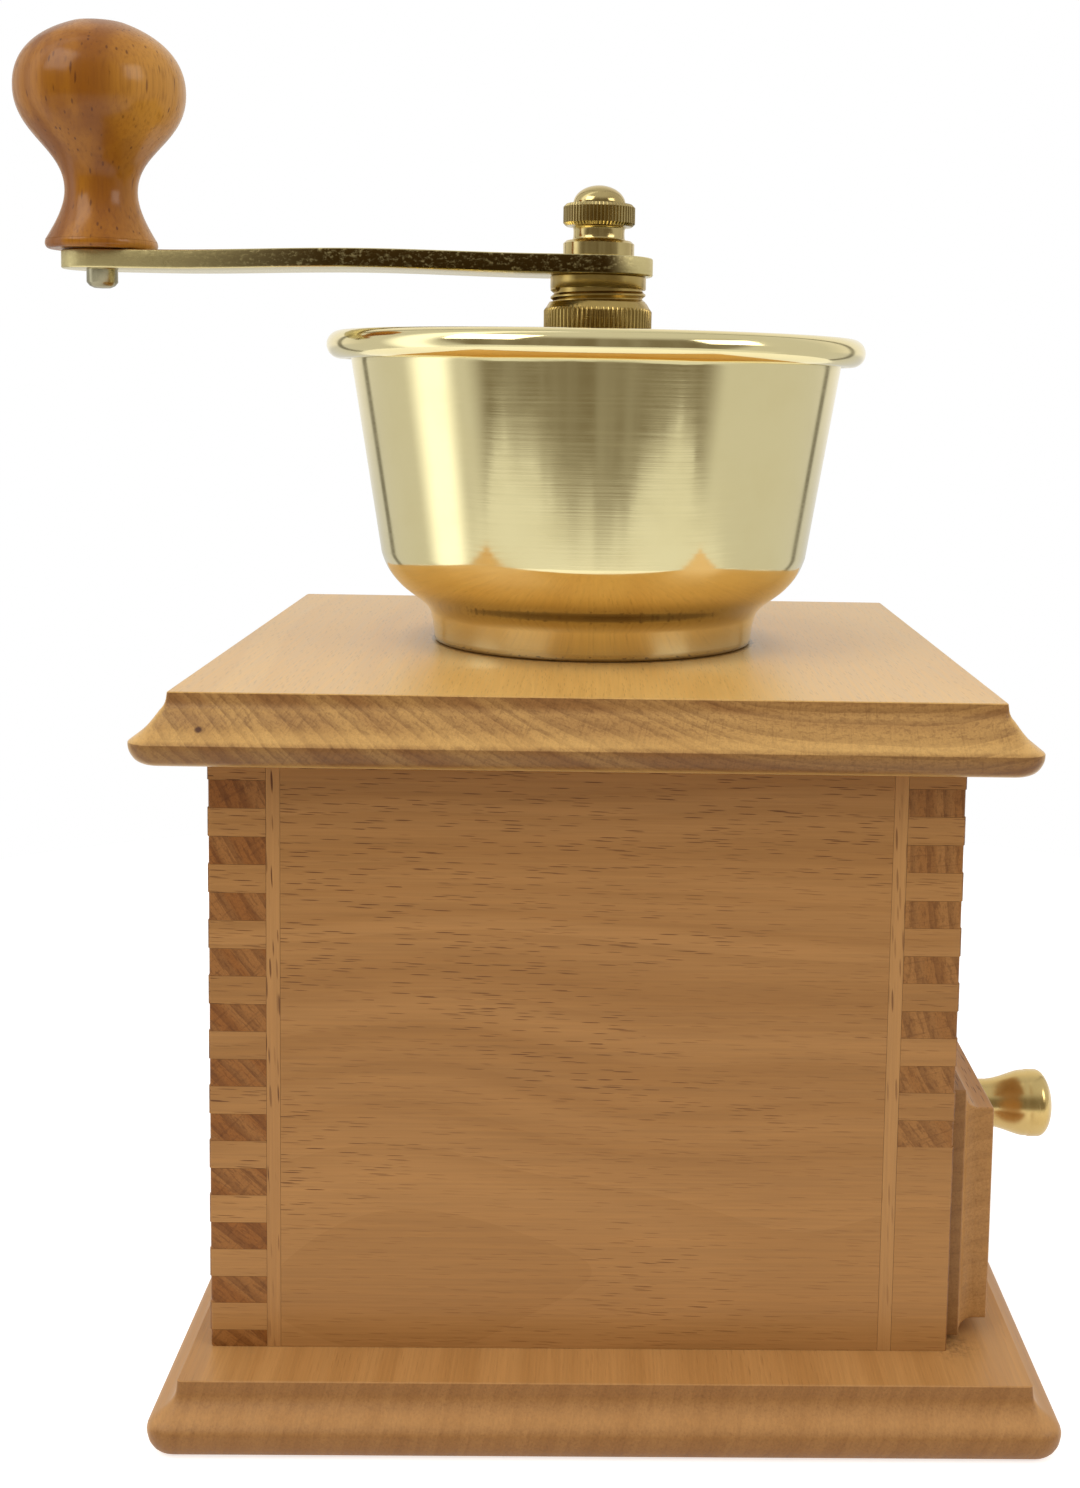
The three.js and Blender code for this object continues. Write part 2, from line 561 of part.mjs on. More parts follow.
// Drawer: a four-board tray behind a coved front, all in one group that slides along +X.
function drawer() {
  const tray = new THREE.Group();
  mill.add(tray);
  const side = inner - DRAWER_TRAVEL_GAP;
  const back = -inner + DRAWER_BACK_SPACE;
  const front = half + DRAWER_REST_GAP;
  const bottom = baseTop + DRAWER_TRAVEL_GAP;
  const floorTop = bottom + DRAWER_FLOOR;
  const wallTop = frontBottom - DRAWER_HEADROOM;
  const wallFoot = floorTop + GLUE_LINE;
  const end = front - GLUE_LINE;
  piece("drawer_bottom", block([back, end], [-side, side], [bottom, floorTop]), beech, [0, 0, 0], tray);
  for (const [sign, label] of [[-1, "near"], [1, "far"]]) {
    const wall = block([back, end], sided(sign, side - DRAWER_WALL, side), [wallFoot, wallTop]);
    piece(`drawer_side_${label}`, wall, beech, [0, 0, 0], tray);
  }
  const backY = side - DRAWER_WALL - GLUE_LINE;
  const backWall = block([back, back + DRAWER_WALL], [-backY, backY], [wallFoot, wallTop]);
  piece("drawer_back", backWall, beech, [0, 0, 0], tray);

  const coveStart = front + DRAWER_FRONT_LIP;
  const coveEnd = front + DRAWER_FRONT_THICKNESS - DRAWER_FRONT_FLAT;
  const reach = coveEnd - coveStart;
  const edge = (width, cove) => [
    [front, width],
    ...arc([coveEnd, width], reach, cove, 180, 270, 6),
    [front + DRAWER_FRONT_THICKNESS, width - cove],
  ];
  const mirrored = (points) => points.map(([x, v]) => [x, -v]).reverse();
  const spare = 5;
  const w = half - DRAWER_FRONT_INSET;
  const h = (frontBottom + DRAWER_FRONT_LAP - baseTop - DRAWER_FRONT_RISE) / 2;
  const across = edge(w, DRAWER_COVE_SIDE);
  const plan = extruded([...across, ...mirrored(across)].reverse(), -h - spare, h + spare);
  const upright = [...edge(h, DRAWER_COVE_TOP), ...mirrored(edge(h, DRAWER_COVE_LOW))].reverse();
  const rise = extruded(upright, -w - spare, w + spare, "xz");
  const centre = baseTop + DRAWER_FRONT_RISE + h;
  const knobZ = baseTop + KNOB_HEIGHT;
  const panel = common(plan, rise).translate(0, 0, centre);
  const along = (geometry, x) => geometry.rotateY(Math.PI / 2).translate(x, 0, knobZ);
  const screwBore = along(rod(PULL_SCREW_RADIUS + SCREW_CLEARANCE, -1, DRAWER_FRONT_THICKNESS + 1), front);
  piece("drawer_front", cut(panel, screwBore), beechEnd, [0, 0, 0], tray);

  const head = PULL_LENGTH - PULL_HEAD;
  const flare = head - PULL_NECK_LENGTH;
  const domed = arc([0, PULL_LENGTH - PULL_DOME], PULL_HEAD_RADIUS, PULL_DOME, 0, 90, 5);
  const boreDepth = PULL_SCREW_REACH - DRAWER_FRONT_THICKNESS + BLIND_ROOM;
  const knob = turned([
    [PULL_SCREW_RADIUS + PRESS_GAP, 0],
    [PULL_FOOT_RADIUS, 0],
    [PULL_FOOT_RADIUS, PULL_FOOT],
    [PULL_NECK_RADIUS, PULL_FOOT + PULL_FOOT_SLOPE],
    [PULL_NECK_RADIUS, PULL_NECK_LENGTH],
    [PULL_NECK_RADIUS + PULL_FLARE * (PULL_HEAD_RADIUS - PULL_NECK_RADIUS), PULL_NECK_LENGTH + flare / 2],
    [PULL_HEAD_RADIUS, head],
    ...domed,
    [0, PULL_LENGTH],
    [0, boreDepth],
    [PULL_SCREW_RADIUS + PRESS_GAP, boreDepth],
  ], ROUND);
  const knobStart = front + DRAWER_FRONT_THICKNESS + PRESS_GAP;
  piece("drawer_knob", along(knob, knobStart), brass, [0, 0, 0], tray);
  const screw = slottedScrew(
    PULL_SCREW_RADIUS, PULL_SCREW_HEAD_RADIUS, PULL_SCREW_HEAD, PULL_SCREW_POINT, PULL_SCREW_REACH);
  piece("drawer_knob_screw", along(screw.rotateX(Math.PI), front - PRESS_GAP), steel, [0, 0, 0], tray);
}

// The bowl's side, set in from its outside: neck, ogee shoulder and taper as [radius, height].
function bowlWall(inset) {
  const taper = (BOWL_WALL_HIGH_RADIUS - BOWL_WALL_LOW_RADIUS) / (BOWL_WALL_HIGH - BOWL_WALL_LOW);
  const shoulder = new THREE.CubicBezierCurve(
    new THREE.Vector2(BOWL_FOOT_RADIUS, BOWL_NECK),
    new THREE.Vector2(BOWL_FOOT_RADIUS, BOWL_NECK + BOWL_COVE),
    new THREE.Vector2(BOWL_WALL_LOW_RADIUS - taper * BOWL_TURN, BOWL_WALL_LOW - BOWL_TURN),
    new THREE.Vector2(BOWL_WALL_LOW_RADIUS, BOWL_WALL_LOW),
  ).getPoints(7).map((p) => [p.x, p.y]);
  return [...shoulder, [BOWL_WALL_HIGH_RADIUS, BOWL_WALL_HIGH]].map(([r, z]) => [r - inset, z]);
}

function hopper() {
  const bead = arc([BEAD_CENTRE_RADIUS, BEAD_CENTRE], BEAD_RADIUS, BEAD_RADIUS, -138, 180, 8);
  const bowl = turned([
    [THROAT_RADIUS, 0],
    [BOWL_FOOT_RADIUS, 0],
    ...bowlWall(0),
    ...bead,
    ...bowlWall(BOWL_SHEET).reverse(),
    [BOWL_FOOT_RADIUS - BOWL_SHEET, BOWL_SHEET],
    [THROAT_RADIUS, BOWL_SHEET],
  ], FINE);
  const holes = screwHoles(hopperScrewPlaces, -1, BOWL_SHEET + 1);
  piece("hopper_bowl", cut(bowl, ...holes), brass, [0, 0, bowlFloor]);

  const footBottom = bowlInside + PRESS_GAP;
  const legInside = yokeLeg - YOKE_STRIP;
  const bendCentre = [yokeLeg - YOKE_BEND, yokeTop - YOKE_BEND];
  const bend = (radius) => arc(bendCentre, radius, radius, 0, 90, 4);
  const footTop = footBottom + YOKE_STRIP;
  const farSide = [
    ...bend(YOKE_BEND - YOKE_STRIP).reverse(),
    [legInside, footBottom],
    [yokeFootEnd, footBottom],
    [yokeFootEnd, footTop],
    [yokeLeg, footTop],
    ...bend(YOKE_BEND),
  ];
  const outline = [...farSide, ...farSide.map(([y, z]) => [-y, z]).reverse()];
  const strip = extruded(outline, -YOKE_WIDTH / 2, YOKE_WIDTH / 2, "yz");
  const seat = rod(bushRadius + PRESS_GAP, yokeTop - YOKE_STRIP - 1, yokeTop + 1, ROUND);
  const feet = screwHoles(hopperScrewPlaces, footBottom - 1, footTop + 1);
  piece("yoke", cut(strip, seat, ...feet), steel);

  const bore = SPINDLE_RADIUS + RUNNING;
  piece("yoke_bush", turned([
    [bore, bushBottom],
    [bushRadius, bushBottom],
    [bushRadius, yokeTop + PRESS_GAP],
    [bushRadius + BUSH_LIP, yokeTop + PRESS_GAP],
    [bushRadius + BUSH_LIP, bushTop],
    [bore, bushTop],
  ]), brass);
}

// A cone or ring surface with spiral teeth: rows of points from low to high.
function toothedWall(lowRadius, highRadius, z0, z1, teeth, depth, twist, rows) {
  return Array.from({ length: rows + 1 }, (_, row) => {
    const share = row / rows;
    const radius = lowRadius + (highRadius - lowRadius) * share;
    const turn = THREE.MathUtils.degToRad(twist * share);
    return Array.from({ length: teeth * 2 }, (_, i) => {
      const angle = turn + (Math.PI * i) / teeth;
      const r = radius - (i % 2) * depth;
      return [r * Math.cos(angle), r * Math.sin(angle), z0 + (z1 - z0) * share];
    });
  });
}

// A closed solid from rows of points, capped flat at both ends.
function lofted(rows) {
  const count = rows[0].length;
  const centres = [rows[0], rows.at(-1)].map((row) => [0, 0, row[0][2]]);
  const points = [...rows.flat(), ...centres];
  const faces = [];
  for (let row = 0; row < rows.length - 1; row++) {
    for (let i = 0; i < count; i++) {
      const [a, b] = [row * count + i, row * count + ((i + 1) % count)];
      faces.push(a, b, b + count, a, b + count, a + count);
    }
  }
  const [low, high] = [points.length - 2, points.length - 1];
  const last = (rows.length - 1) * count;
  for (let i = 0; i < count; i++) {
    const next = (i + 1) % count;
    faces.push(low, next, i, high, last + i, last + next);
  }
  const geometry = new THREE.BufferGeometry();
  geometry.setAttribute("position", new THREE.Float32BufferAttribute(points.flat(), 3));
  geometry.setIndex(faces);
  return geometry;
}

// The pin across burr and spindle, or the hole that it goes in.
function burrPin(radius, reach) {
  return rod(radius, -reach, reach).rotateX(Math.PI / 2).translate(0, 0, burrPinZ);
}

function burrs() {
  const flangeBottom = housingTop - HOUSING_FLANGE;
  const ledgeTop = housingBottom + HOUSING_LEDGE;
  const flangeRadius = housingScrewCircle + SCREW_HEAD_RADIUS + HOUSING_RIM;
  const housing = turned([
    [ringLowRadius, housingBottom],
    [housingRadius, housingBottom],
    [housingRadius, flangeBottom],
    [flangeRadius, flangeBottom],
    [flangeRadius, housingTop],
    [housingBore, housingTop],
    [housingBore, ledgeTop],
    [ringLowRadius, ledgeTop],
  ], FINE);
  const holes = screwHoles(housingScrewPlaces, flangeBottom - 1, housingTop + 1);
  const bridgeScrewPlaces = ring((ringLowRadius + housingRadius) / 2, 2, Math.PI / 4);
  const smallHole = (z0, z1) => rod(SMALL_SCREW_RADIUS + SCREW_CLEARANCE, z0, z1);
  const boreTop = ledgeTop - LEDGE_SKIN;
  const bridgeBores = bridgeScrewPlaces.map((p) => smallHole(housingBottom - 1, boreTop).translate(...p));
  const ringScrewTip = ringRadius - RING_SCREW_BITE;
  const ringScrewSeat = housingRadius + PRESS_GAP;
  const radial = (geometry, out) =>
    geometry.rotateY(-Math.PI / 2).translate(-out, 0, ringBottom + RING_SCREW_RISE);
  const ringScrewHole = radial(smallHole(ringScrewTip - SCREW_CLEARANCE, ringScrewSeat + 1), 0);
  piece("burr_housing", cut(housing, ...holes, ...bridgeBores, ringScrewHole), castIron);
  piece("ring_screw", radial(smallScrew(ringScrewSeat - ringScrewTip), ringScrewSeat), steel);

  const ringTop = ringBottom + RING_HEIGHT;
  const bore = lofted(toothedWall(
    ringLowRadius + BURR_TOOTH, ringTopRadius + BURR_TOOTH,
    ringBottom - PRESS_GAP, ringTop + PRESS_GAP, RING_TEETH, BURR_TOOTH, -BURR_TWIST / 2, 4));
  piece("outer_burr", cut(rod(ringRadius, ringBottom, ringTop, FINE), bore, ringScrewHole), steel);

  const cone = lofted(toothedWall(
    BURR_LOW_RADIUS, BURR_TOP_RADIUS, burrBottom, burrTop, BURR_TEETH, BURR_TOOTH, BURR_TWIST, 6));
  const spindleBore = rod(SPINDLE_RADIUS + PRESS_GAP, burrBottom - 1, burrTop + 1, ROUND);
  piece("inner_burr", cut(cone, spindleBore, burrPin(BURR_PIN_RADIUS + PRESS_GAP, BURR_LOW_RADIUS)), steel);
  piece("burr_pin", burrPin(BURR_PIN_RADIUS, BURR_TOP_RADIUS), steel);

  const across = [-housingRadius, housingRadius];
  const bar = block(across, [-BRIDGE_WIDTH / 2, BRIDGE_WIDTH / 2], [bridgeBottom, bridgeTop]);
  const round = rod(housingRadius, bridgeBottom - 1, bridgeTop + 1, FINE);
  const trimmed = common(bar.rotateZ(Math.PI / 4), round);
  const tipBore = rod(SPINDLE_TIP_RADIUS + RUNNING, bridgeBottom - 1, bridgeTop + 1, ROUND);
  const bridgeHoles = bridgeScrewPlaces.map((p) =>
    smallHole(bridgeBottom - 1, bridgeTop + 1).translate(...p));
  piece("lower_bridge", cut(trimmed, tipBore, ...bridgeHoles), castIron);
  const screwReach = boreTop - SCREW_CLEARANCE - bridgeBottom;
  bridgeScrewPlaces.forEach(([x, y], i) => {
    const screw = smallScrew(screwReach).rotateX(Math.PI);
    piece(`bridge_screw_${i + 1}`, screw, steel, [x, y, bridgeBottom - PRESS_GAP]);
  });
}

// The spring's centreline: a helix whose ends run straight along the spindle for one wire diameter.
class SpringLine extends THREE.Curve {
  getPoint(share) {
    const lead = (2 * SPRING_WIRE_RADIUS) / SPRING_LENGTH;
    const wound = THREE.MathUtils.clamp((share - lead) / (1 - 2 * lead), 0, 1);
    const angle = wound * SPRING_TURNS * 2 * Math.PI;
    return new THREE.Vector3(
      springRadius * Math.cos(angle),
      springRadius * Math.sin(angle),
      share * SPRING_LENGTH,
    );
  }
}

function spring() {
  const line = new SpringLine();
  const steps = SPRING_TURNS * 8 + 4;
  const section = toothed(SPRING_WIRE_RADIUS, 0, 2.5).slice(0, 5);
  const shape = new THREE.Shape(section.map(([u, v]) => new THREE.Vector2(u, v)));
  const wire = new THREE.ExtrudeGeometry(shape, { steps, extrudePath: line, bevelEnabled: false });
  const points = Array.from({ length: 400 }, (_, i) => line.getPoint(i / 399));
  let least = Infinity;
  points.forEach((p, i) => points.slice(i + 40).forEach((q) => {
    least = Math.min(least, p.distanceTo(q) - 2 * SPRING_WIRE_RADIUS);
  }));
  console.log(`spring: least gap between turns ${least.toFixed(2)} mm`);
  piece("pressure_spring", wire, steel, [0, 0, springBottom]);
}

// Spindle, keyed washer, knurled nut and the sleeve that the nut runs on.
function spindle() {
  const collarRadius = springRadius + SPRING_WIRE_RADIUS + COLLAR_LIP;
  const coneStart = bridgeTop + SPINDLE_CONE;
  const shaft = turned([
    [0, bridgeBottom - SPINDLE_END],
    [SPINDLE_TIP_RADIUS, bridgeBottom - SPINDLE_END],
    [SPINDLE_TIP_RADIUS, coneStart],
    [SPINDLE_RADIUS, coneStart + SPINDLE_CONE],
    [SPINDLE_RADIUS, collarTop - SPINDLE_COLLAR],
    [collarRadius, collarTop - SPINDLE_COLLAR],
    [collarRadius, collarTop],
    [SPINDLE_RADIUS, collarTop],
    [SPINDLE_RADIUS, armTop],
    [TOP_THREAD_RADIUS, armTop],
    [TOP_THREAD_RADIUS, threadTop],
    [0, threadTop],
  ], ROUND);
  const flat = block(
    [SPINDLE_RADIUS - SPINDLE_FLAT, SPINDLE_RADIUS + 1],
    [-SPINDLE_RADIUS, SPINDLE_RADIUS],
    [washerBottom - SPINDLE_FLAT_RUN, sleeveBottom],
  );
  const s = SQUARE / 2;
  const wide = [-2 * SPINDLE_RADIUS, 2 * SPINDLE_RADIUS];
  const squareRun = [armBottom - PRESS_GAP / 2, armTop + 1];
  const squareSides = [-1, 1].flatMap((sign) => [
    block(sided(sign, s, wide[1]), wide, squareRun),
    block(wide, sided(sign, s, wide[1]), squareRun),
  ]);
  const thread = rod(TOP_THREAD_RADIUS, armTop - ARM / 2, threadTop);
  const pinBore = burrPin(BURR_PIN_RADIUS + PRESS_GAP, wide[1]);
  piece("spindle", cut(join(cut(shaft, flat, ...squareSides), thread), pinBore), steel);

  const keyed = cut(
    rod(SPINDLE_RADIUS + RUNNING, washerBottom - 1, washerTop + 1, ROUND),
    block([SPINDLE_RADIUS - SPINDLE_FLAT + RUNNING, wide[1]], wide, [washerBottom - 2, washerTop + 2]),
  );
  piece("thrust_washer", cut(rod(WASHER_RADIUS, washerBottom, washerTop, ROUND), keyed), steel);

  const adjusterTop = adjusterBottom + ADJUSTER_HEIGHT;
  const adjusterRadius = SLEEVE_RADIUS + ADJUSTER_WALL;
  const teeth = toothed(adjusterRadius, KNURL, ADJUSTER_TEETH);
  const knurled = extruded(teeth, adjusterBottom, adjusterTop);
  const steepness = ADJUSTER_CHAMFER_HEIGHT / ADJUSTER_CHAMFER;
  const blank = adjusterRadius + 1;
  const turnedNut = turned([
    [SLEEVE_RADIUS + RUNNING, adjusterBottom],
    [blank, adjusterBottom],
    [blank, adjusterTop - (blank - adjusterRadius + ADJUSTER_CHAMFER) * steepness],
    [adjusterRadius - ADJUSTER_CHAMFER, adjusterTop],
    [SLEEVE_RADIUS + RUNNING, adjusterTop],
  ], ROUND);
  piece("adjusting_nut", common(knurled, turnedNut), brass);

  const grooves = [];
  const threadEnd = sleeveTop - SLEEVE_COLLAR;
  for (let z = threadEnd; z - THREAD_PITCH > sleeveBottom; z -= THREAD_PITCH) {
    grooves.push([SLEEVE_RADIUS, z], [SLEEVE_RADIUS - THREAD_DEPTH, z - THREAD_PITCH / 2]);
  }
  const sleeveBore = SPINDLE_RADIUS + PRESS_GAP;
  piece("adjusting_sleeve", turned([
    [sleeveBore, sleeveTop],
    [SLEEVE_RADIUS, sleeveTop],
    ...grooves,
    [SLEEVE_RADIUS - THREAD_DEPTH, sleeveBottom],
    [sleeveBore, sleeveBottom],
  ]), brass);
}

// Height of the arm's underside: level at the hub and the tip, arched between them.
function armRise(x) {
  const share = THREE.MathUtils.clamp((-x - ARM_HUB_RADIUS) / (CRANK_RADIUS - 2 * ARM_HUB_RADIUS), 0, 1);
  const eased = share * share * (3 - 2 * share);
  return ARM_RISE * Math.sin(Math.PI * share) ** 2 - ARM_TIP_DROP * eased;
}

function crank() {
  const tip = -CRANK_RADIUS;
  const stations = Array.from({ length: 13 }, (_, i) =>
    ARM_HUB_RADIUS + 1 - (i / 12) * (CRANK_RADIUS + ARM_HUB_RADIUS + ARM_TIP_RADIUS + 2));
  const under = stations.map((x) => [x, armBottom + armRise(x)]);
  const over = stations.map((x) => [x, armTop + armRise(x)]).reverse();
  const bar = extruded([...over, ...under], -ARM_HUB_RADIUS - 1, ARM_HUB_RADIUS + 1, "xz");
  const lean = THREE.MathUtils.radToDeg(Math.asin((ARM_HUB_RADIUS - ARM_TIP_RADIUS) / CRANK_RADIUS));
  const plan = extruded([
    ...arc([0, 0], ARM_HUB_RADIUS, ARM_HUB_RADIUS, -90 - lean, 90 + lean, 14),
    ...arc([tip, 0], ARM_TIP_RADIUS, ARM_TIP_RADIUS, 90 + lean, 270 - lean, 10),
  ], armBottom - 5, armTop + 5);
  const h = SQUARE / 2 + RUNNING;
  const socket = block([-h, h], [-h, h], [armBottom - 5, armTop + 5]);
  const eye = rod(GRIP_SCREW_TAIL_RADIUS + PRESS_GAP, armBottom - 5, armTop + 5, ROUND).translate(tip, 0, 0);
  piece("crank_arm", cut(common(bar, plan), socket, eye), brass);

  const flangeTop = capBottom + CAP_FLANGE;
  const ringBottom = flangeTop + CAP_NECK;
  const ringTop = ringBottom + CAP_RING;
  const bore = TOP_THREAD_RADIUS + PRESS_GAP;
  const boreTop = threadTop + BLIND_ROOM;
  const body = turned([
    [bore, capBottom],
    [CAP_FLANGE_RADIUS, capBottom],
    [CAP_FLANGE_RADIUS, flangeTop - CAP_CHAMFER],
    [CAP_FLANGE_RADIUS - CAP_CHAMFER, flangeTop],
    [CAP_NECK_RADIUS, flangeTop],
    [CAP_NECK_RADIUS, ringBottom],
    [CAP_NECK_RADIUS, ringTop],
    ...arc([0, ringTop], CAP_NECK_RADIUS, CAP_DOME, 10, 90, 6),
    [0, boreTop],
    [bore, boreTop],
  ]);
  const ring = extruded(toothed(CAP_RING_RADIUS, KNURL, CAP_TEETH), ringBottom, ringTop);
  const core = CAP_NECK_RADIUS - 1;
  const ringBlank = turned([
    [core, ringBottom],
    [CAP_RING_RADIUS - CAP_CHAMFER, ringBottom],
    [CAP_RING_RADIUS + KNURL, ringBottom + CAP_CHAMFER + KNURL],
    [CAP_RING_RADIUS + KNURL, ringTop - CAP_CHAMFER - KNURL],
    [CAP_RING_RADIUS - CAP_CHAMFER, ringTop],
    [core, ringTop],
  ]);
  piece("cap_nut", join(body, common(ring, ringBlank)), brass);
}

// The turned grip and the screw that it spins on.
function grip() {
  const sinkRadius = GRIP_SCREW_HEAD_RADIUS + SCREW_CLEARANCE;
  const sinkFloor = GRIP_HEIGHT - GRIP_SCREW_HEAD - GRIP_SINK;
  const bore = GRIP_SCREW_RADIUS + RUNNING;
  const foot = new THREE.QuadraticBezierCurve(
    new THREE.Vector2(GRIP_FOOT_RADIUS, GRIP_ROUNDING),
    new THREE.Vector2(GRIP_WAIST_RADIUS + 1, GRIP_WAIST / 2),
    new THREE.Vector2(GRIP_WAIST_RADIUS, GRIP_WAIST),
  ).getPoints(4);
  const belly = new THREE.CubicBezierCurve(
    new THREE.Vector2(GRIP_WAIST_RADIUS, GRIP_WAIST),
    new THREE.Vector2(GRIP_WAIST_RADIUS, GRIP_WAIST + GRIP_HOLLOW),
    new THREE.Vector2(GRIP_RADIUS, GRIP_BELLY - GRIP_SWELL),
    new THREE.Vector2(GRIP_RADIUS, GRIP_BELLY),
  ).getPoints(7).slice(1);
  const crownEnd = THREE.MathUtils.radToDeg(Math.acos(sinkRadius / GRIP_RADIUS));
  const wood = turned([
    [bore, 0],
    [GRIP_FOOT_RADIUS - GRIP_ROUNDING / 3, 0],
    [GRIP_FOOT_RADIUS, GRIP_ROUNDING / 2],
    ...[...foot, ...belly].map((p) => [p.x, p.y]),
    ...arc([0, GRIP_BELLY], GRIP_RADIUS, GRIP_HEIGHT - GRIP_BELLY, 0, crownEnd, 6).slice(1),
    [sinkRadius, sinkFloor],
    [bore, sinkFloor],
  ], ROUND);
  const place = [-CRANK_RADIUS, 0, 0];
  piece("grip", wood.translate(0, 0, gripBottom), gripWood, place);

  const headBottom = gripBottom + sinkFloor + SEAT_GAP;
  const shoulder = gripArmTop + PRESS_GAP;
  const tail = gripArmTop - ARM - GRIP_SCREW_TAIL;
  const screw = turned([
    [0, tail],
    [GRIP_SCREW_TAIL_RADIUS - GRIP_SCREW_TAIL_EDGE, tail],
    [GRIP_SCREW_TAIL_RADIUS, tail + GRIP_SCREW_TAIL_EDGE],
    [GRIP_SCREW_TAIL_RADIUS, shoulder],
    [GRIP_SCREW_RADIUS, shoulder],
    [GRIP_SCREW_RADIUS, headBottom],
    [GRIP_SCREW_HEAD_RADIUS, headBottom],
    [GRIP_SCREW_HEAD_RADIUS, headBottom + GRIP_SCREW_HEAD],
    [0, headBottom + GRIP_SCREW_HEAD],
  ], ROUND);
  const headTop = headBottom + GRIP_SCREW_HEAD;
  const across = [-GRIP_SCREW_HEAD_RADIUS - 1, GRIP_SCREW_HEAD_RADIUS + 1];
  const wide = [-SCREW_SLOT / 2, SCREW_SLOT / 2];
  const slot = block(across, wide, [headTop - SCREW_SLOT_DEPTH, headTop + 1]);
  piece("grip_screw", cut(screw, slot), steel, place);
}

caseAndBoards();
mountingScrews();
drawer();
hopper();
burrs();
spring();
spindle();
crank();
grip();

export default mill;
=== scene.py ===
# %% [markdown]
# # A hand coffee mill
# The mill is a finger-jointed beech box between two moulded boards. A spun brass hopper stands on it, and a
# crank with a turned wooden grip drives the burrs inside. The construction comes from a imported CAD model,
# which this notebook loads as a fixed frame. It then gives every visible piece the shape and finish that a
# camera at arm's length would see: true curves, knurls, grain, polish and wear.

# %% Load the frame
import math

import bmesh
import bpy
from mathutils import Matrix, Vector
from mathutils.geometry import interpolate_bezier


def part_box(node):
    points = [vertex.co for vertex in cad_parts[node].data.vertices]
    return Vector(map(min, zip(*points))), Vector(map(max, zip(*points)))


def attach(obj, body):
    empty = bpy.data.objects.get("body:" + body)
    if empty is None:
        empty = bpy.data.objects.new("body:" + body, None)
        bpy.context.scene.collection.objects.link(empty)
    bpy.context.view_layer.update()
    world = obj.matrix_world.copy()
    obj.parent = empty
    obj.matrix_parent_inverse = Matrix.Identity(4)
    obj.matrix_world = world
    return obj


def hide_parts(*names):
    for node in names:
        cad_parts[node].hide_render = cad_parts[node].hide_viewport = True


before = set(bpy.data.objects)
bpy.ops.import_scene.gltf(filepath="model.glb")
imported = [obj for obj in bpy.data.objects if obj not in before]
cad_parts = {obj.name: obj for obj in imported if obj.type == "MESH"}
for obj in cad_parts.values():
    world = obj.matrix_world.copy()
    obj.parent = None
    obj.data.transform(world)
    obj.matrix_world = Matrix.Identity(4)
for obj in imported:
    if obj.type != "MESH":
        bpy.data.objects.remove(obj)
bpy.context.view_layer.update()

# %% [markdown]
# ## The camera
# The photograph was taken from slightly above the top board, close to the mill. A near camera makes the base
# look wide and the grip tall, so its place matters more than the lights. The place, three turns and focal
# length were found by setting the corners of the boards against the picture.

# %% Camera
PHOTO_WIDTH, PHOTO_HEIGHT = 1080, 1488
FOCAL_PIXELS = 1775.3
PRINCIPAL_X, PRINCIPAL_Y = 638.5, 565.6
CAMERA_PLACE = Vector((0.00142, -0.29565, 0.14708))
CAMERA_YAW, CAMERA_PITCH, CAMERA_ROLL = 1.173, -5.711, 1.033
SENSOR = 36

camera_data = bpy.data.cameras.new("camera")
camera_data.sensor_width = SENSOR
camera_data.lens = FOCAL_PIXELS / PHOTO_HEIGHT * SENSOR
camera_data.shift_x = (PHOTO_WIDTH / 2 - PRINCIPAL_X) / PHOTO_HEIGHT
camera_data.shift_y = (PRINCIPAL_Y - PHOTO_HEIGHT / 2) / PHOTO_HEIGHT
camera_data.clip_start = 0.01
camera = bpy.data.objects.new("camera", camera_data)
bpy.context.scene.collection.objects.link(camera)

turn = Matrix.Rotation(math.radians(-CAMERA_YAW), 4, "Z")
tilt = Matrix.Rotation(math.radians(90 + CAMERA_PITCH), 4, "X")
roll = Matrix.Rotation(math.radians(CAMERA_ROLL), 4, "Z")
camera.matrix_world = Matrix.Translation(CAMERA_PLACE) @ turn @ tilt @ roll
bpy.context.scene.camera = camera
bpy.context.scene.view_settings.view_transform = "Standard"
print("camera: lens", round(camera_data.lens, 2), "mm")

# %% [markdown]
# ## Node helpers
# A small class keeps the node calls short: each method adds a node or a few to its tree, and returns the
# socket that comes out. A finish is such a tree inside a material. Its patterns read Object coordinates in
# millimetres, because a wood pore or a turning mark has a real size.

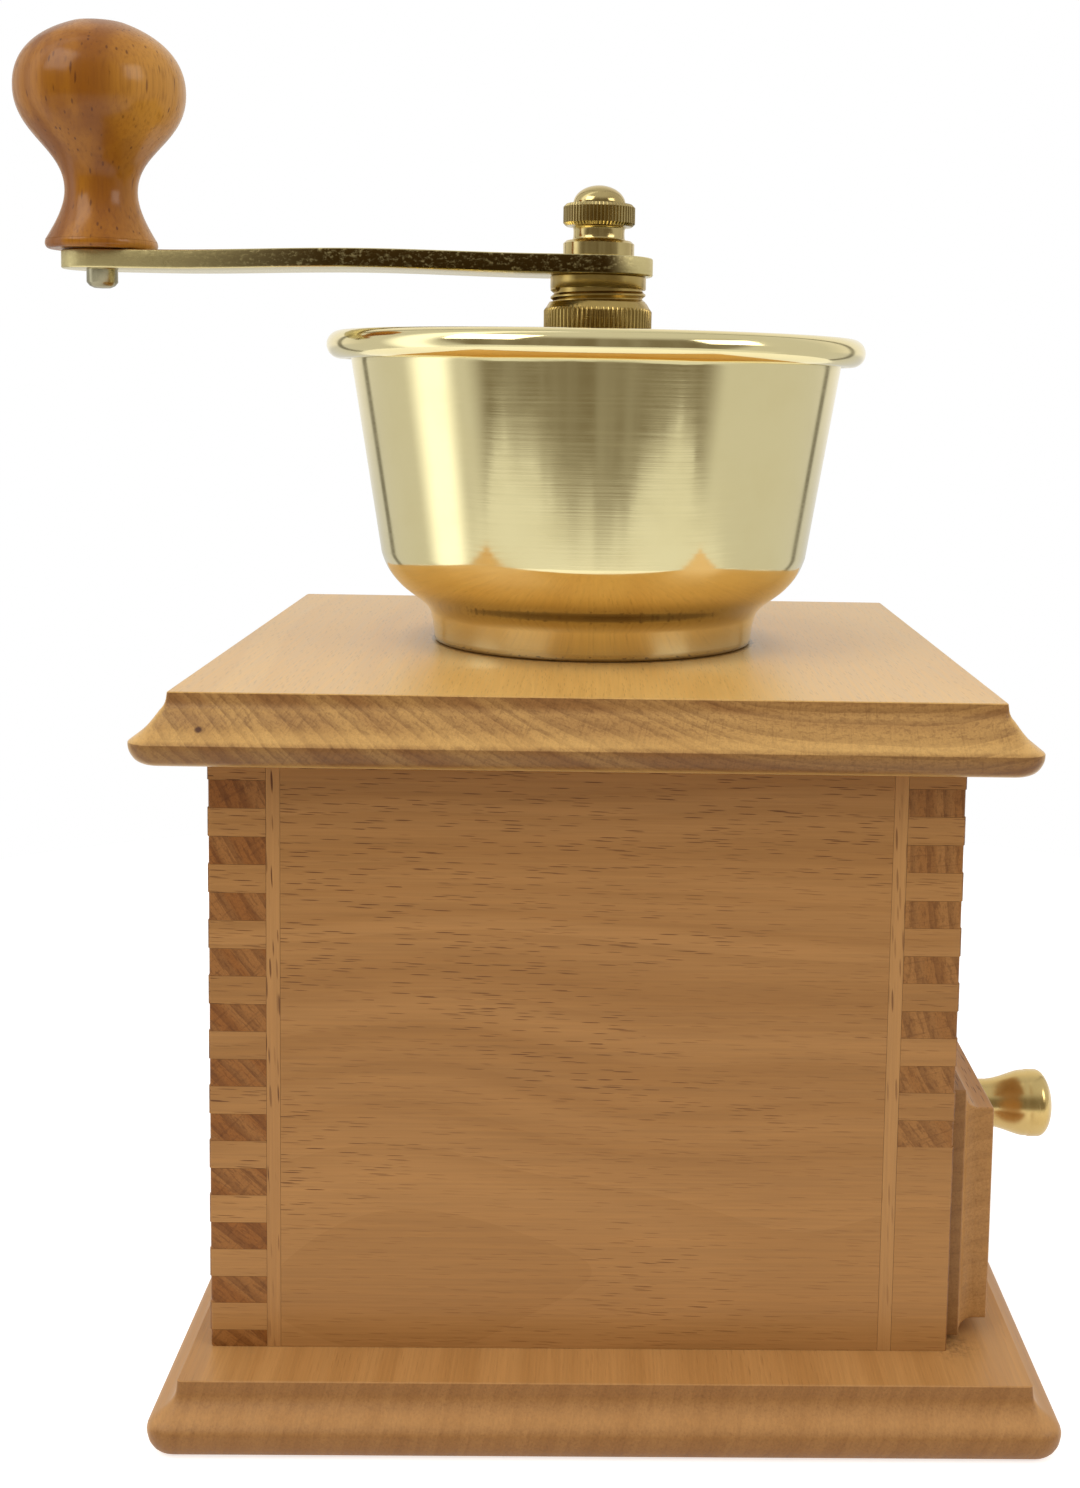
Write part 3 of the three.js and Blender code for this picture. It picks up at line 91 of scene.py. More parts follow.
# %% Shader helper
class Nodes:
    """A node tree, with short calls that add to it."""

    def __init__(self, tree):
        self.tree = tree

    def add(self, kind, inputs=(), output=0, **settings):
        node = self.tree.nodes.new("ShaderNode" + kind)
        for key, value in settings.items():
            setattr(node, key, value)
        for socket, value in dict(inputs).items():
            self.feed(node.inputs[socket], value)
        return node.outputs[output]

    def feed(self, socket, value):
        if isinstance(value, bpy.types.NodeSocket):
            self.tree.links.new(value, socket)
        else:
            socket.default_value = value

    def math(self, operation, first, *others):
        """One operation on any number of values, taken two at a time."""
        for other in others or [0.0]:
            first = self.add("Math", {0: first, 1: other}, operation=operation)
        return first

    def plus(self, a, b):
        return self.math("ADD", a, b)

    def minus(self, a, b):
        return self.math("SUBTRACT", a, b)

    def times(self, *values):
        return self.math("MULTIPLY", *values)

    def length(self, x, y):
        return self.math("SQRT", self.plus(self.times(x, x), self.times(y, y)))

    def axes(self, vector):
        """The X, Y and Z of a vector."""
        return self.add("SeparateXYZ", {0: vector}).node.outputs

    def noise(self, vector, scale, detail=2.0, rough=0.5, shift=(0, 0, 0)):
        """Noise with one scale, or with one for each axis."""
        if isinstance(scale, tuple):
            vector, scale = self.stretch(vector, scale, shift), 1.0
        inputs = {"Vector": vector, "Scale": scale, "Detail": detail, "Roughness": rough}
        return self.add("TexNoise", inputs)

    def noise_along(self, value, scale, detail):
        inputs = {"W": value, "Scale": scale, "Detail": detail}
        return self.add("TexNoise", inputs, noise_dimensions="1D")

    def stretch(self, vector, scale, shift=(0, 0, 0)):
        return self.add("Mapping", {"Vector": vector, "Scale": scale, "Location": shift})

    def cells(self, vector, scale):
        """The distance to the nearest of many scattered points, and a random number for each point."""
        inputs = {"Vector": self.stretch(vector, scale), "Scale": 1.0}
        distance = self.add("TexVoronoi", inputs, "Distance")
        return distance, self.add("SeparateColor", {0: distance.node.outputs["Color"]})

    def step(self, value, low, high, start=0.0, end=1.0):
        """Start below one value and end above another, with a smooth step between them."""
        inputs = {"Value": value, 1: low, 2: high, 3: start, 4: end}
        return self.add("MapRange", inputs, interpolation_type="SMOOTHSTEP")

    def mix(self, factor, a, b, blend="MIX"):
        return self.add("Mix", {0: factor, 6: a, 7: b}, 2, data_type="RGBA", blend_type=blend)


class Finish(Nodes):
    """A material, and the nodes that feed its Principled shader."""

    def __init__(self, name, **settings):
        self.material = bpy.data.materials.new(name)
        self.material.use_nodes = True
        super().__init__(self.material.node_tree)
        self.shader = self.tree.nodes["Principled BSDF"]
        self.give(**settings)

    def give(self, **sockets):
        for socket, value in sockets.items():
            self.feed(self.shader.inputs[socket.replace("_", " ")], value)

    def millimetres(self):
        place = self.add("TexCoord", output="Object")
        return self.add("VectorMath", {0: place, "Scale": 1000.0}, operation="SCALE")

    def distance(self, place, spot):
        return self.add("VectorMath", {0: place, 1: spot}, output=1, operation="DISTANCE")

    def bump(self, height, distance, strength):
        inputs = {"Height": height, "Distance": distance, "Strength": strength}
        self.give(Normal=self.add("Bump", inputs))


def colour(tone):
    """A tone as a screen shows it, in parts of 0 to 255, as the linear colour that Blender wants."""
    shares = [part / 255 for part in tone]
    linear = [s / 12.92 if s <= 0.04045 else ((s + 0.055) / 1.055) ** 2.4 for s in shares]
    return (*linear, 1)


print("helper ready, mid beech is", [round(part, 3) for part in colour((163, 117, 72))])

# %% [markdown]
# ## Beech
# Beech is a plain pale wood with two marks of its own. Its growth rings are faint bands, and its rays show as
# short dark flecks along the grain. A picture of a board can't turn a corner, so the wood here is solid: it
# has rings round a pith line that lies outside the board, and flecks that fill the volume. Side faces then
# show long bands, and end faces show arcs. End grain drinks more varnish, so it is darker.

# %% Beech recipe
GRAIN_ORDER = {"X": ("X", "Y", "Z"), "Y": ("Y", "X", "Z"), "Z": ("Z", "X", "Y")}


def beech(name, grain, pith, side, dark, end, fleck, ring=3.2, flecks=0.9, lines=0.35, shift=0.0, coat=0.12,
          haze=0.2, cell=(0.25, 4.4, 4.4), dirt_and_shade=None):
    """Varnished beech. Grain is an axis, and pith the two other coordinates of the tree's centre, in mm."""
    f = Finish(name, Coat_Roughness=haze, Specular_IOR_Level=0.2)
    side, dark, end, fleck = (colour(tone) for tone in (side, dark, end, fleck))
    place = f.millimetres()
    spot = f.axes(place)
    along, across, up = (spot[axis] for axis in GRAIN_ORDER[grain])
    along = f.plus(along, shift)
    wood = f.add("CombineXYZ", {"X": along, "Y": across, "Z": up})

    # Distance from the pith, which wanders a little along the board.
    drift = f.noise(wood, (0.012, 0.018, 0.018), 1)
    sway = f.times(f.minus(drift, 0.5), 16)
    dx = f.minus(across, pith[0])
    dy = f.minus(up, pith[1])
    radius = f.plus(f.length(dx, dy), sway)
    year = f.math("DIVIDE", radius, ring)
    band = f.noise_along(year, 0.42, 2)
    late = f.step(f.math("FRACT", f.plus(year, f.times(band, 0.9))), 0.4, 0.95)

    # Fibres are long and thin, and ray flecks are spindles about 2 mm long. Their cells lean, or else the
    # flecks would stand in columns.
    fibre = f.noise(wood, (0.05, 2.6, 2.6), 3, 0.6)
    cloud = f.noise(wood, (0.01, 0.09, 0.09))
    lean = f.plus(f.times(up, 7.9), f.times(across, 4.3))
    leaning = f.add("CombineXYZ", {"X": f.plus(along, lean), "Y": across, "Z": up})
    away, chance = f.cells(leaning, cell)
    spindle = f.step(away, 0.24, 0.4, 1, 0)
    chosen = f.step(chance, 0.4, 0.9)
    crowd = f.noise(wood, (0.02, 0.05, 0.05), 1, shift=(7, 3, 5))
    crowd = f.step(f.plus(crowd, f.math("DIVIDE", spot["Z"], 300)), 0.5, 0.75, 0.3, 1)
    speck = f.times(spindle, chosen, crowd, flecks)

    # How squarely a face cuts the grain.
    facing = f.axes(f.add("TexCoord", output="Normal"))
    cut = f.step(f.math("ABSOLUTE", facing[grain]), 0.35, 0.8)

    # Rays run out from the pith and show on end grain as fine checks. The saw tears it along the rings.
    arc_length = f.times(f.math("ARCTAN2", dy, dx), math.hypot(*pith))
    polar = f.add("CombineXYZ", {"X": arc_length, "Y": radius})
    check = f.step(f.noise(polar, (1.6, 0.2, 1)), 0.56, 0.68)
    torn = f.step(f.noise(polar, (0.4, 2.2, 1), 3, 0.6), 0.5, 0.62)
    wide = f.step(f.noise_along(radius, 0.2, 1), 0.42, 0.58)

    tone = f.plus(f.times(f.step(band, 0.3, 0.72), 0.6), f.times(cloud, 0.4))
    face = f.mix(tone, side, dark)
    face = f.mix(f.times(late, lines * 0.45), face, dark)
    face = f.mix(speck, face, fleck)
    pores = f.noise(place, 3.2, 2, 0.7)
    ends = f.mix(f.times(wide, 0.8 * lines), end, side)
    # Painted light: end grain that faces up is painted lighter, towards the side colour, as if lit from
    # above.
    ends = f.mix(f.step(facing["Z"], 0.2, 0.8, 0, 0.35), ends, side)
    marks = [(late, lines), (check, 0.7 * lines), (torn, lines), (f.step(pores, 0.45, 0.75), 0.3)]
    for mark, strength in marks:
        ends = f.mix(f.times(mark, strength), ends, fleck)
    body = f.mix(cut, face, ends)
    shade = f.step(fibre, 0.25, 0.75, 0.92, 1.07)
    body = f.mix(1.0, body, f.add("CombineColor", {0: shade, 1: shade, 2: shade}), "MULTIPLY")
    # This mask paints real coffee dirt and painted shade alike, in one dark coffee colour.
    if dirt_and_shade:
        body = f.mix(dirt_and_shade(f, place), body, colour(COFFEE_AND_SHADE))
    f.give(Base_Color=body, Roughness=f.step(fibre, 0.2, 0.8, 0.38, 0.55))
    f.give(Coat_Weight=f.step(cut, 0, 1, coat, 0.3 * coat))
    f.bump(f.minus(fibre, f.times(speck, 0.8)), 0.00006, 0.35)
    return f.material


SIDE = (171, 122, 68)
DARK = (149, 102, 51)
END = (132, 86, 44)
FLECK = (92, 50, 18)
# One dark colour for coffee dirt and for painted shade.
COFFEE_AND_SHADE = (70, 34, 18)
panel_beech = beech("panel_beech", "X", (-12, 20), SIDE, DARK, END, FLECK, lines=0.7)
print("first beech made:", panel_beech.name)

# %% [markdown]
# ## Brass, steel and iron
# Three metals need three kinds of surface. Spun brass is a mirror with fine rings left by the forming tool,
# so its bump is noise squeezed flat along Z. Turned brass is duller, with browner patches.
# The hardware is bright zinc on steel, and the burrs are bare dark steel. Metal takes its look from what it
# reflects, so its own colour is nearly plain.

# %% Metal recipe
ROUGH_SPAN = 0.08


def metal(name, base, stain, rough, spun, depth=0.00001):
    """A bare metal with fine marks that run across the direction in which spun is largest."""
    f = Finish(name, Metallic=1.0)
    place = f.millimetres()
    marks = f.noise(place, spun, 3, 0.65)
    cloud = f.noise(place, 0.14, 3)
    f.give(Base_Color=f.mix(f.step(cloud, 0.35, 0.75, 0, 0.5), colour(base), colour(stain)))
    wear = f.plus(f.times(marks, 0.5), f.times(cloud, 0.5))
    f.give(Roughness=f.step(wear, 0.3, 0.7, rough, rough + ROUGH_SPAN))
    f.bump(marks, depth, 0.4)
    return f.material


spun_brass = metal("spun_brass", (238, 224, 171), (234, 219, 164), 0.06, (0.03, 0.03, 2.6), 0.000006)
turned_brass = metal("turned_brass", (192, 166, 100), (142, 112, 54), 0.2, (0.2, 0.2, 5))
cap_brass = metal("cap_brass", (206, 186, 128), (156, 128, 72), 0.11, (0.2, 0.2, 5))
pull_brass = metal("pull_brass", (218, 190, 126), (200, 164, 96), 0.2, (3.5, 0.1, 0.1))
bright_steel = metal("bright_steel", (206, 206, 202), (176, 176, 172), 0.24, (1.2, 1.2, 1.2))
strip_steel = metal("strip_steel", (196, 196, 192), (168, 167, 160), 0.28, (0.6, 3.0, 0.6))
worn_steel = metal("worn_steel", (158, 150, 122), (128, 116, 84), 0.2, (1.2, 1.2, 1.2))
burr_steel = metal("burr_steel", (112, 110, 108), (78, 74, 70), 0.34, (0.8, 0.8, 0.8), 0.00003)
cast_iron = metal("cast_iron", (86, 85, 84), (58, 56, 54), 0.55, (1.6, 1.6, 1.6), 0.00008)
print("metals:", [m.name for m in bpy.data.materials if m.name.endswith(("brass", "steel", "iron"))])

# %% [markdown]
# ## Mesh helpers
# Round pieces are an outline of (radius, height) points, spun once about Z. All modelling is in millimetres,
# and the helper called make scales a finished mesh to metres and hands it to its moving body. Its object
# stays at the origin, so that Object coordinates in the materials mean the same on every piece.

# %% Outlines
MM = 0.001


def arc(centre, across, up, start, end, steps):
    """Points on an ellipse's arc, in degrees counterclockwise from the right."""
    angles = [math.radians(start + (end - start) * i / steps) for i in range(steps + 1)]
    return [(centre[0] + across * math.cos(a), centre[1] + up * math.sin(a)) for a in angles]


def bezier(start, lean, pull, end, steps):
    """Points on a cubic from start to end, with its two handles."""
    knots = [Vector((*point, 0)) for point in (start, lean, pull, end)]
    return [(point.x, point.y) for point in interpolate_bezier(*knots, steps + 1)]


def joined(*runs):
    """Runs of points as one outline, without the doubles where they meet."""
    outline = []
    for run in runs:
        for point in run:
            if not outline or math.dist(outline[-1], point) > 1e-4:
                outline.append(point)
    return outline


def land(radius, low, high, ease):
    """The side of a cylinder, with both its edges eased."""
    return [(radius - ease, low), (radius, low + ease), (radius, high - ease), (radius - ease, high)]


# %% Wire, lathe, carve and make
def wire(bm, points, closed=True):
    """Points with edges from each to the next, as verts and edges."""
    verts = [bm.verts.new(point) for point in points]
    pairs = list(zip(verts, verts[1:]))
    if closed:
        pairs.append((verts[-1], verts[0]))
    return verts, [bm.edges.new(pair) for pair in pairs]


def wind(bm, geometry, turns, climb, steps, merge=False):
    """Spin geometry about Z while it climbs by so much a turn, and give its last ring."""
    spun = bmesh.ops.spin(bm, geom=geometry, cent=(0, 0, 0), axis=(0, 0, 1),
                          dvec=(0, 0, turns * climb / steps), angle=turns * 2 * math.pi, steps=steps,
                          use_merge=merge)
    return spun["geom_last"]


def lathe(outline, steps=96):
    """Spin an outline in millimetres about Z. One that starts off the axis closes on itself."""
    bm = bmesh.new()
    off_axis = outline[0][0] > 0
    verts, edges = wire(bm, [(radius, 0, height) for radius, height in outline], off_axis)
    wind(bm, verts + edges, 1, 0, steps, merge=True)
    bmesh.ops.remove_doubles(bm, verts=bm.verts, dist=1e-4)
    bmesh.ops.recalc_face_normals(bm, faces=bm.faces)
    return bm


def moved(bm, place=(0, 0, 0), turn=0.0, axis="Z"):
    """Turn a bmesh about an axis through the origin, in degrees, then move it."""
    bmesh.ops.rotate(bm, cent=(0, 0, 0), matrix=Matrix.Rotation(math.radians(turn), 3, axis), verts=bm.verts)
    bmesh.ops.translate(bm, vec=place, verts=bm.verts)
    return bm


def loose_object(bm, name):
    mesh = bpy.data.meshes.new(name)
    bm.to_mesh(mesh)
    bm.free()
    thing = bpy.data.objects.new(name, mesh)
    bpy.context.scene.collection.objects.link(thing)
    return thing


def carve(stock, *tools):
    """Cut bmeshes out of another with Boolean modifiers, and give what is left."""
    blank = loose_object(stock, "blank")
    cutters = [loose_object(tool, "cutter") for tool in tools]
    for cutter in cutters:
        cut = blank.modifiers.new("cut", "BOOLEAN")
        cut.object = cutter
        cut.operation = "DIFFERENCE"
        cut.solver = "EXACT"
    left = bmesh.new()
    left.from_object(blank, bpy.context.evaluated_depsgraph_get())
    for thing in (blank, *cutters):
        bpy.data.meshes.remove(thing.data)
    return left


def make(bm, name, finish, body, slot, *replaced, smooth=40):
    """Turn a bmesh in millimetres into a finished piece in metres, riding on its body."""
    bmesh.ops.scale(bm, vec=(MM, MM, MM), verts=bm.verts)
    piece = loose_object(bm, name)
    piece.data.materials.append(finish)
    piece.data.shade_smooth()
    piece.data.set_sharp_from_angle(angle=math.radians(smooth))
    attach(piece, body)
    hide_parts(*replaced)
    print(f"{name}: {len(piece.data.polygons)} faces for {', '.join(replaced)}")


def limits(node):
    """A CAD node's lowest and highest corner, in millimetres."""
    return [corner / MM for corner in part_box(node)]


def level(node, end):
    """A CAD node's lowest (0) or highest (1) Z in millimetres."""
    return limits(node)[end].z


def centre(node):
    """The X and Y of a CAD node's middle."""
    low, high = limits(node)
    return ((low.x + high.x) / 2, (low.y + high.y) / 2)


# %% [markdown]
# ## The hopper
# The hopper is spun from one brass sheet: a straight foot, an ogee shoulder with a crisp turn, a wall that
# tapers outwards, and an edge rolled over into a bead. The outline runs up the outside and down the inside,
# one sheet thickness apart, so the spin gives a real wall.

# %% Hopper bowl
bowl_floor = level("hopper_bowl", 0)
SHEET = 1.0
THROAT = 15.0
FOOT = 26.4
FOOT_RIDGE = (26.9, 3.8)
SHOULDER_RIDGE = (32.6, 9.95)
SHOULDER = (35.14, 14.5)
WALL_TOP = (40.15, 45.9)
BEAD = (41.82, 48.1)
BEAD_RADIUS = 2.25


def bowl_side(inset):
    """Foot, cove, crisp turn and taper, set in from the outside."""
    foot = [(FOOT, 0.35), (FOOT + 0.06, 1.2), (FOOT_RIDGE[0] - 0.2, 3.2), FOOT_RIDGE]
    cove = bezier(FOOT_RIDGE, (27.1, 6.6), (30.4, 7.4), SHOULDER_RIDGE, 12)
    turn = bezier(SHOULDER_RIDGE, (33.9, 11.4), (34.45, 12.4), SHOULDER, 8)
    wall = bezier(SHOULDER, SHOULDER, WALL_TOP, WALL_TOP, 12)
    return [(radius - inset, height) for radius, height in joined(foot, cove, turn, wall)]


bead = arc(BEAD, BEAD_RADIUS, BEAD_RADIUS, -132, 172, 26)
inside = [(r, max(z, SHEET + 0.4)) for r, z in bowl_side(SHEET)][::-1]
bowl = joined([(THROAT, 0), (FOOT - 0.35, 0)], bowl_side(0), bead, inside[:-1],
              [(FOOT - SHEET - 0.6, SHEET), (THROAT, SHEET)])
make(moved(lathe(bowl, 160), (0, 0, bowl_floor)), "hopper", spun_brass, "case",
     "polished_brass", "hopper_bowl", smooth=50)

# %% [markdown]
# ## Screws
# All screws are slotted, as on an old pattern like this: a lathe outline with its slot cut by a Boolean. The
# screws of the hopper and the base differ only in size and head.

# %% Slotted screws
SLOT_WIDTH, SLOT_DEPTH = 0.8, 0.9


def slotted(outline, top, reach, steps=48):
    """A screw spun from its outline, with a slot cut in its head's top, as far out as it must reach."""
    slot = bmesh.new()
    bmesh.ops.create_cube(slot, size=1)
    bmesh.ops.scale(slot, vec=(2 * reach, SLOT_WIDTH, 1 + SLOT_DEPTH), verts=slot.verts)
    bmesh.ops.translate(slot, vec=(0, 0, top + (1 - SLOT_DEPTH) / 2), verts=slot.verts)
    return carve(lathe(outline, steps), slot)


PAN_HEAD, PAN_RADIUS, PAN_DOME = 2.0, 3.2, 1.5
PAN_SHANK = 1.75
for number in (1, 2, 3, 4):
    node = f"hopper_screw_{number}"
    top = level(node, 1)
    length = top - PAN_HEAD - level(node, 0)
    point = [(0, -length), (0.7, 1.2 - length), (PAN_SHANK, 2.5 - length)]
    dome = arc((0, PAN_HEAD - PAN_DOME), PAN_RADIUS, PAN_DOME, 0, 90, 8)
    outline = joined(point, [(PAN_SHANK, 0), (PAN_RADIUS - 0.2, 0), (PAN_RADIUS, 0.2)], dome)
    screw = moved(slotted(outline, PAN_HEAD, PAN_RADIUS + 1), (*centre(node), top - PAN_HEAD), 37 * number)
    make(screw, f"hopper_wood_screw_{number}", bright_steel, "case", "steel", node)

# %% Base screws
BASE_HEAD, BASE_SHANK = 3.4, 1.6
for number in (1, 2, 3, 4):
    node = f"base_screw_{number}"
    bottom = level(node, 0)
    length = level(node, 1) - bottom
    outline = [(0, -length), (0.6, 1.2 - length), (BASE_SHANK, 3 - length), (BASE_SHANK, -2.6)]
    outline += [(BASE_HEAD - 0.1, -0.45), (BASE_HEAD, -0.15), (BASE_HEAD - 0.15, 0), (0, 0)]
    screw = moved(slotted(outline, 0, BASE_HEAD + 1), turn=180, axis="X")
    screw = moved(screw, (*centre(node), bottom), 25 * number)
    make(screw, f"base_wood_screw_{number}", bright_steel, "case", "steel", node)

# %% [markdown]
# ## The boards
# Both boards are moulded on all four edges: a rounded nose, a hollow slope, and a nearly upright band under
# the upper edge. The top board has a sharp crease over its nose, and the base rolls smoothly into it. A
# router follows the board's outline, so the section turns each corner with a small radius. The board is built
# as it is cut: one loop per height, a rectangle with rounded corners, and each is bridged to the next.

# %% Moulded boards
NOSE_CORNER = 3.7
SHARP_CORNER = 0.5
NOSE_DEPTH = 2.6
TOP_OUTSET, TOP_RISE = 5.1, 3.0
BASE_OUTSET, BASE_RISE = 4.2, 3.4
COUNTERSINK, COUNTERSINK_DEPTH = 3.7, 1.2


def upper_arris(thickness):
    return [(0.36, thickness - 0.5), (0.3, thickness - 0.12), (0.12, thickness)]


def creased_edge(thickness):
    """The top board's edge, as (outset, height) from the bottom up."""
    nose = arc((TOP_OUTSET - NOSE_DEPTH, TOP_RISE), NOSE_DEPTH, TOP_RISE, -90, 4, 16)
    crease = (nose[-1][0] - 0.06, nose[-1][1] + 0.1)
    shelf = (0.24 * TOP_OUTSET, 0.74 * thickness)
    hollow = (0.5 * (shelf[0] + crease[0]) - 0.3, 0.5 * (shelf[1] + crease[1]) - 0.3)
    slope = bezier(crease, hollow, hollow, shelf, 10)
    band = bezier(shelf, (shelf[0] - 0.4, shelf[1] + 0.4), (0.42, thickness - 1.6), (0.36, thickness - 0.5),
                  6)
    return joined(nose, slope, band, upper_arris(thickness))


def rounded_edge(thickness):
    """The base's edge, as (outset, height) from the bottom up."""
    nose = arc((BASE_OUTSET - NOSE_DEPTH, BASE_RISE), NOSE_DEPTH, BASE_RISE, -90, 0, 12)
    shelf = (2.9, 0.55 * thickness)
    rolled = bezier(nose[-1], (BASE_OUTSET, 0.45 * thickness), (3.6, 0.5 * thickness), shelf, 8)
    cove = bezier(shelf, (1.7, 0.63 * thickness), (0.7, 0.7 * thickness), (0.45, 0.84 * thickness), 10)
    return joined(nose, rolled, cove, upper_arris(thickness))


def rounded_loop(bm, low, high, radius, height):
    """A closed loop of edges: a rectangle with rounded corners."""
    corners = [(high[0], high[1], 0), (low[0], high[1], 90), (low[0], low[1], 180), (high[0], low[1], 270)]
    points = []
    for x, y, start in corners:
        centre = (x - radius if x == high[0] else x + radius, y - radius if y == high[1] else y + radius)
        points += arc(centre, radius, radius, start, start + 90, 6)
    return wire(bm, [(x, y, height) for x, y in points])[1]


def bridged(bm, loops):
    """Join each loop to the next, and close both ends."""
    for lower, upper in zip(loops, loops[1:]):
        bmesh.ops.bridge_loops(bm, edges=lower + upper)
    for end in (loops[0], loops[-1]):
        bmesh.ops.contextual_create(bm, geom=end)
    bmesh.ops.recalc_face_normals(bm, faces=bm.faces)
    return bm


def moulded_board(node, edge, outset):
    """A board that fills a CAD node's box, moulded on its four edges."""
    low, high = limits(node)
    bm = bmesh.new()
    loops = []
    for out, height in edge(high.z - low.z):
        inset = outset - out
        radius = NOSE_CORNER - (NOSE_CORNER - SHARP_CORNER) * inset / outset
        loops.append(rounded_loop(bm, (low.x + inset, low.y + inset), (high.x - inset, high.y - inset),
                                  radius, low.z + height))
    return bridged(bm, loops)


def bore(radius, low, high, centre=(0, 0), steps=64):
    """A round cutting tool."""
    return moved(lathe([(0, low), (radius, low), (radius, high), (0, high)], steps), (*centre, 0))


PORE = (-52.4, -60, 100.5)
SPILL = (54, -51.5, 9.5)


def hopper_dust_and_shade(f, place):
    """Coffee grounds at the hopper's foot, a dark pore, and painted shade round the foot and on the nose."""
    spot = f.axes(place)
    radius = f.length(spot["X"], spot["Y"])
    seam = f.step(radius, FOOT + 0.3, FOOT + 0.75, 0.75, 0)
    grain = f.step(f.noise(place, 1.3, 2), 0.59, 0.64)
    scattered = f.times(f.step(radius, FOOT + 0.5, FOOT + 3, 0.9, 0), grain)
    # Painted shadow: a broad dark ring round the foot, where the hopper shades the board.
    painted_hopper_shadow = f.step(radius, FOOT, FOOT + 9, 0.42, 0)
    pore = f.step(f.distance(place, PORE), 0.3, 0.7, 0.9, 0)
    # Painted shade: the nose under the crease is darkened, as it faces down, away from the light.
    crease = level("top_board", 0) + TOP_RISE + 0.3
    painted_nose_shade = f.step(spot["Z"], crease - 0.2, crease, 0.24, 0)
    return f.math("MAXIMUM", seam, scattered, painted_hopper_shadow, pore, painted_nose_shade)


def drawer_dust(f, place):
    """A little spilt coffee on the base, beside the drawer's corner."""
    near = f.step(f.distance(place, SPILL), 0.5, 5.5, 0.5, 0)
    return f.times(near, f.step(f.noise(place, 0.8, 3, 0.7), 0.42, 0.7))


top_beech = beech("top_beech", "Y", (38, 206), (220, 173, 98), (211, 162, 87), (146, 100, 50), (98, 58, 22),
                  ring=1.7, flecks=0.3, lines=0.3, coat=0.6, haze=0.3, dirt_and_shade=hopper_dust_and_shade)
base_beech = beech("base_beech", "Y", (170, -60), (190, 140, 82), (174, 124, 68), (144, 98, 50),
                   (104, 62, 26), ring=2.4, flecks=0.3, lines=0.12, coat=0.3, haze=0.35, dirt_and_shade=drawer_dust)
top = moulded_board("top_board", creased_edge, TOP_OUTSET)
top = carve(top, bore(THROAT, level("top_board", 0) - 1, level("top_board", 1) + 1))
make(top, "moulded_top", top_beech, "case", "beech", "top_board", smooth=24)

base = moulded_board("base_board", rounded_edge, BASE_OUTSET)
sinks = [bore(COUNTERSINK, -1, COUNTERSINK_DEPTH, centre(f"base_screw_{number}"), 40)
         for number in (1, 2, 3, 4)]
make(carve(base, *sinks), "moulded_base", base_beech, "case", "beech", "base_board", smooth=24)

# %% [markdown]
# ## The case
# The four panels already have their finger joints in the CAD model. What a camera sees more closely is the
# sanded outer corner and the fingers, whose long-grain tips stand a hair proud of the end grain since the
# wood has dried. So each panel is a merged copy of its node, with those edges rounded and those tips moved.

# %% Panels
def node_copy(node):
    """A CAD node as one merged bmesh in millimetres, with its flat faces whole."""
    bm = bmesh.new()
    bm.from_mesh(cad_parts[node].data)
    bmesh.ops.scale(bm, vec=(1 / MM,) * 3, verts=bm.verts)
    bmesh.ops.remove_doubles(bm, verts=bm.verts, dist=0.003)
    bmesh.ops.dissolve_limit(bm, angle_limit=math.radians(0.4), verts=bm.verts, edges=bm.edges)
    return bm


SHARP_TURN = math.radians(30)


def bevelled(bm, edges, width, segments):
    bmesh.ops.bevel(bm, geom=edges, offset=width, offset_type="OFFSET", affect="EDGES", segments=segments,
                    profile=0.5, clamp_overlap=True, material=-1)
    return bm


def soften(bm, width, chosen=lambda edge: True):
    """Round the sharp edges, or a choice of them."""
    edges = [e for e in bm.edges if e.is_manifold and e.calc_face_angle() > SHARP_TURN and chosen(e)]
    return bevelled(bm, edges, width, 3)


CASE_HALF = limits("case_side_near")[1].x
PROUD = 0.14


def outer_corner(edge):
    """True for the short upright edges along the case's four outer corners."""
    ends = [place for vert in edge.verts for place in (vert.co.x, vert.co.y)]
    return all(abs(abs(place) - CASE_HALF) < 0.3 for place in ends)


far_beech = beech("far_beech", "X", (14, 70), SIDE, DARK, (134, 82, 36), FLECK, shift=310)
back_beech = beech("back_beech", "Y", (95, 190), SIDE, DARK, (140, 86, 36), (84, 44, 14), ring=2.6,
                   lines=0.38)
front_beech = beech("front_beech", "Y", (230, 105), SIDE, DARK, (146, 96, 46), (90, 50, 18), ring=2.4,
                    lines=0.38, shift=140)
PANELS = {
    "case_side_near": panel_beech,
    "case_side_far": far_beech,
    "case_back": back_beech,
    "case_front": front_beech,
}
for node, finish in PANELS.items():
    bm = node_copy(node)
    if "side" in node:
        for vert in bm.verts:
            if abs(vert.co.x) > CASE_HALF - 0.1:
                vert.co.x += math.copysign(PROUD, vert.co.x)
    soften(bm, 0.45, chosen=outer_corner)
    make(bm, f"{node}_panel", finish, "case", "beech", node, smooth=20)

# %% Inlaid strips
strip_beech = beech("strip_beech", "Z", (-20, -130), (174, 126, 72), (164, 114, 62), (140, 96, 52),
                    (96, 56, 24), ring=3, flecks=1.0, cell=(0.22, 2.0, 2.0))
for side in ("near", "far"):
    for end in ("back", "front"):
        node = f"inlay_strip_{side}_{end}"
        make(node_copy(node), f"strip_{side}_{end}", strip_beech, "case", "inlay_beech", node)

# %% [markdown]
# ## The drawer
# The drawer is a plain tray behind a coved front. The front's edge is a thin full-size lip, a cove, and a
# flat land that is smaller than the lip all round. It is built like the boards, but lying on its back: loops
# that get smaller as they come towards the viewer. The brass pull is a small trumpet, spun and laid along X.

# %% Drawer front
FRONT_LIP = 2.0
FRONT_FLAT = 2.0
COVE_TOP, COVE_SIDE, COVE_LOW = 3.4, 2.0, 1.6
ARRIS = 0.18


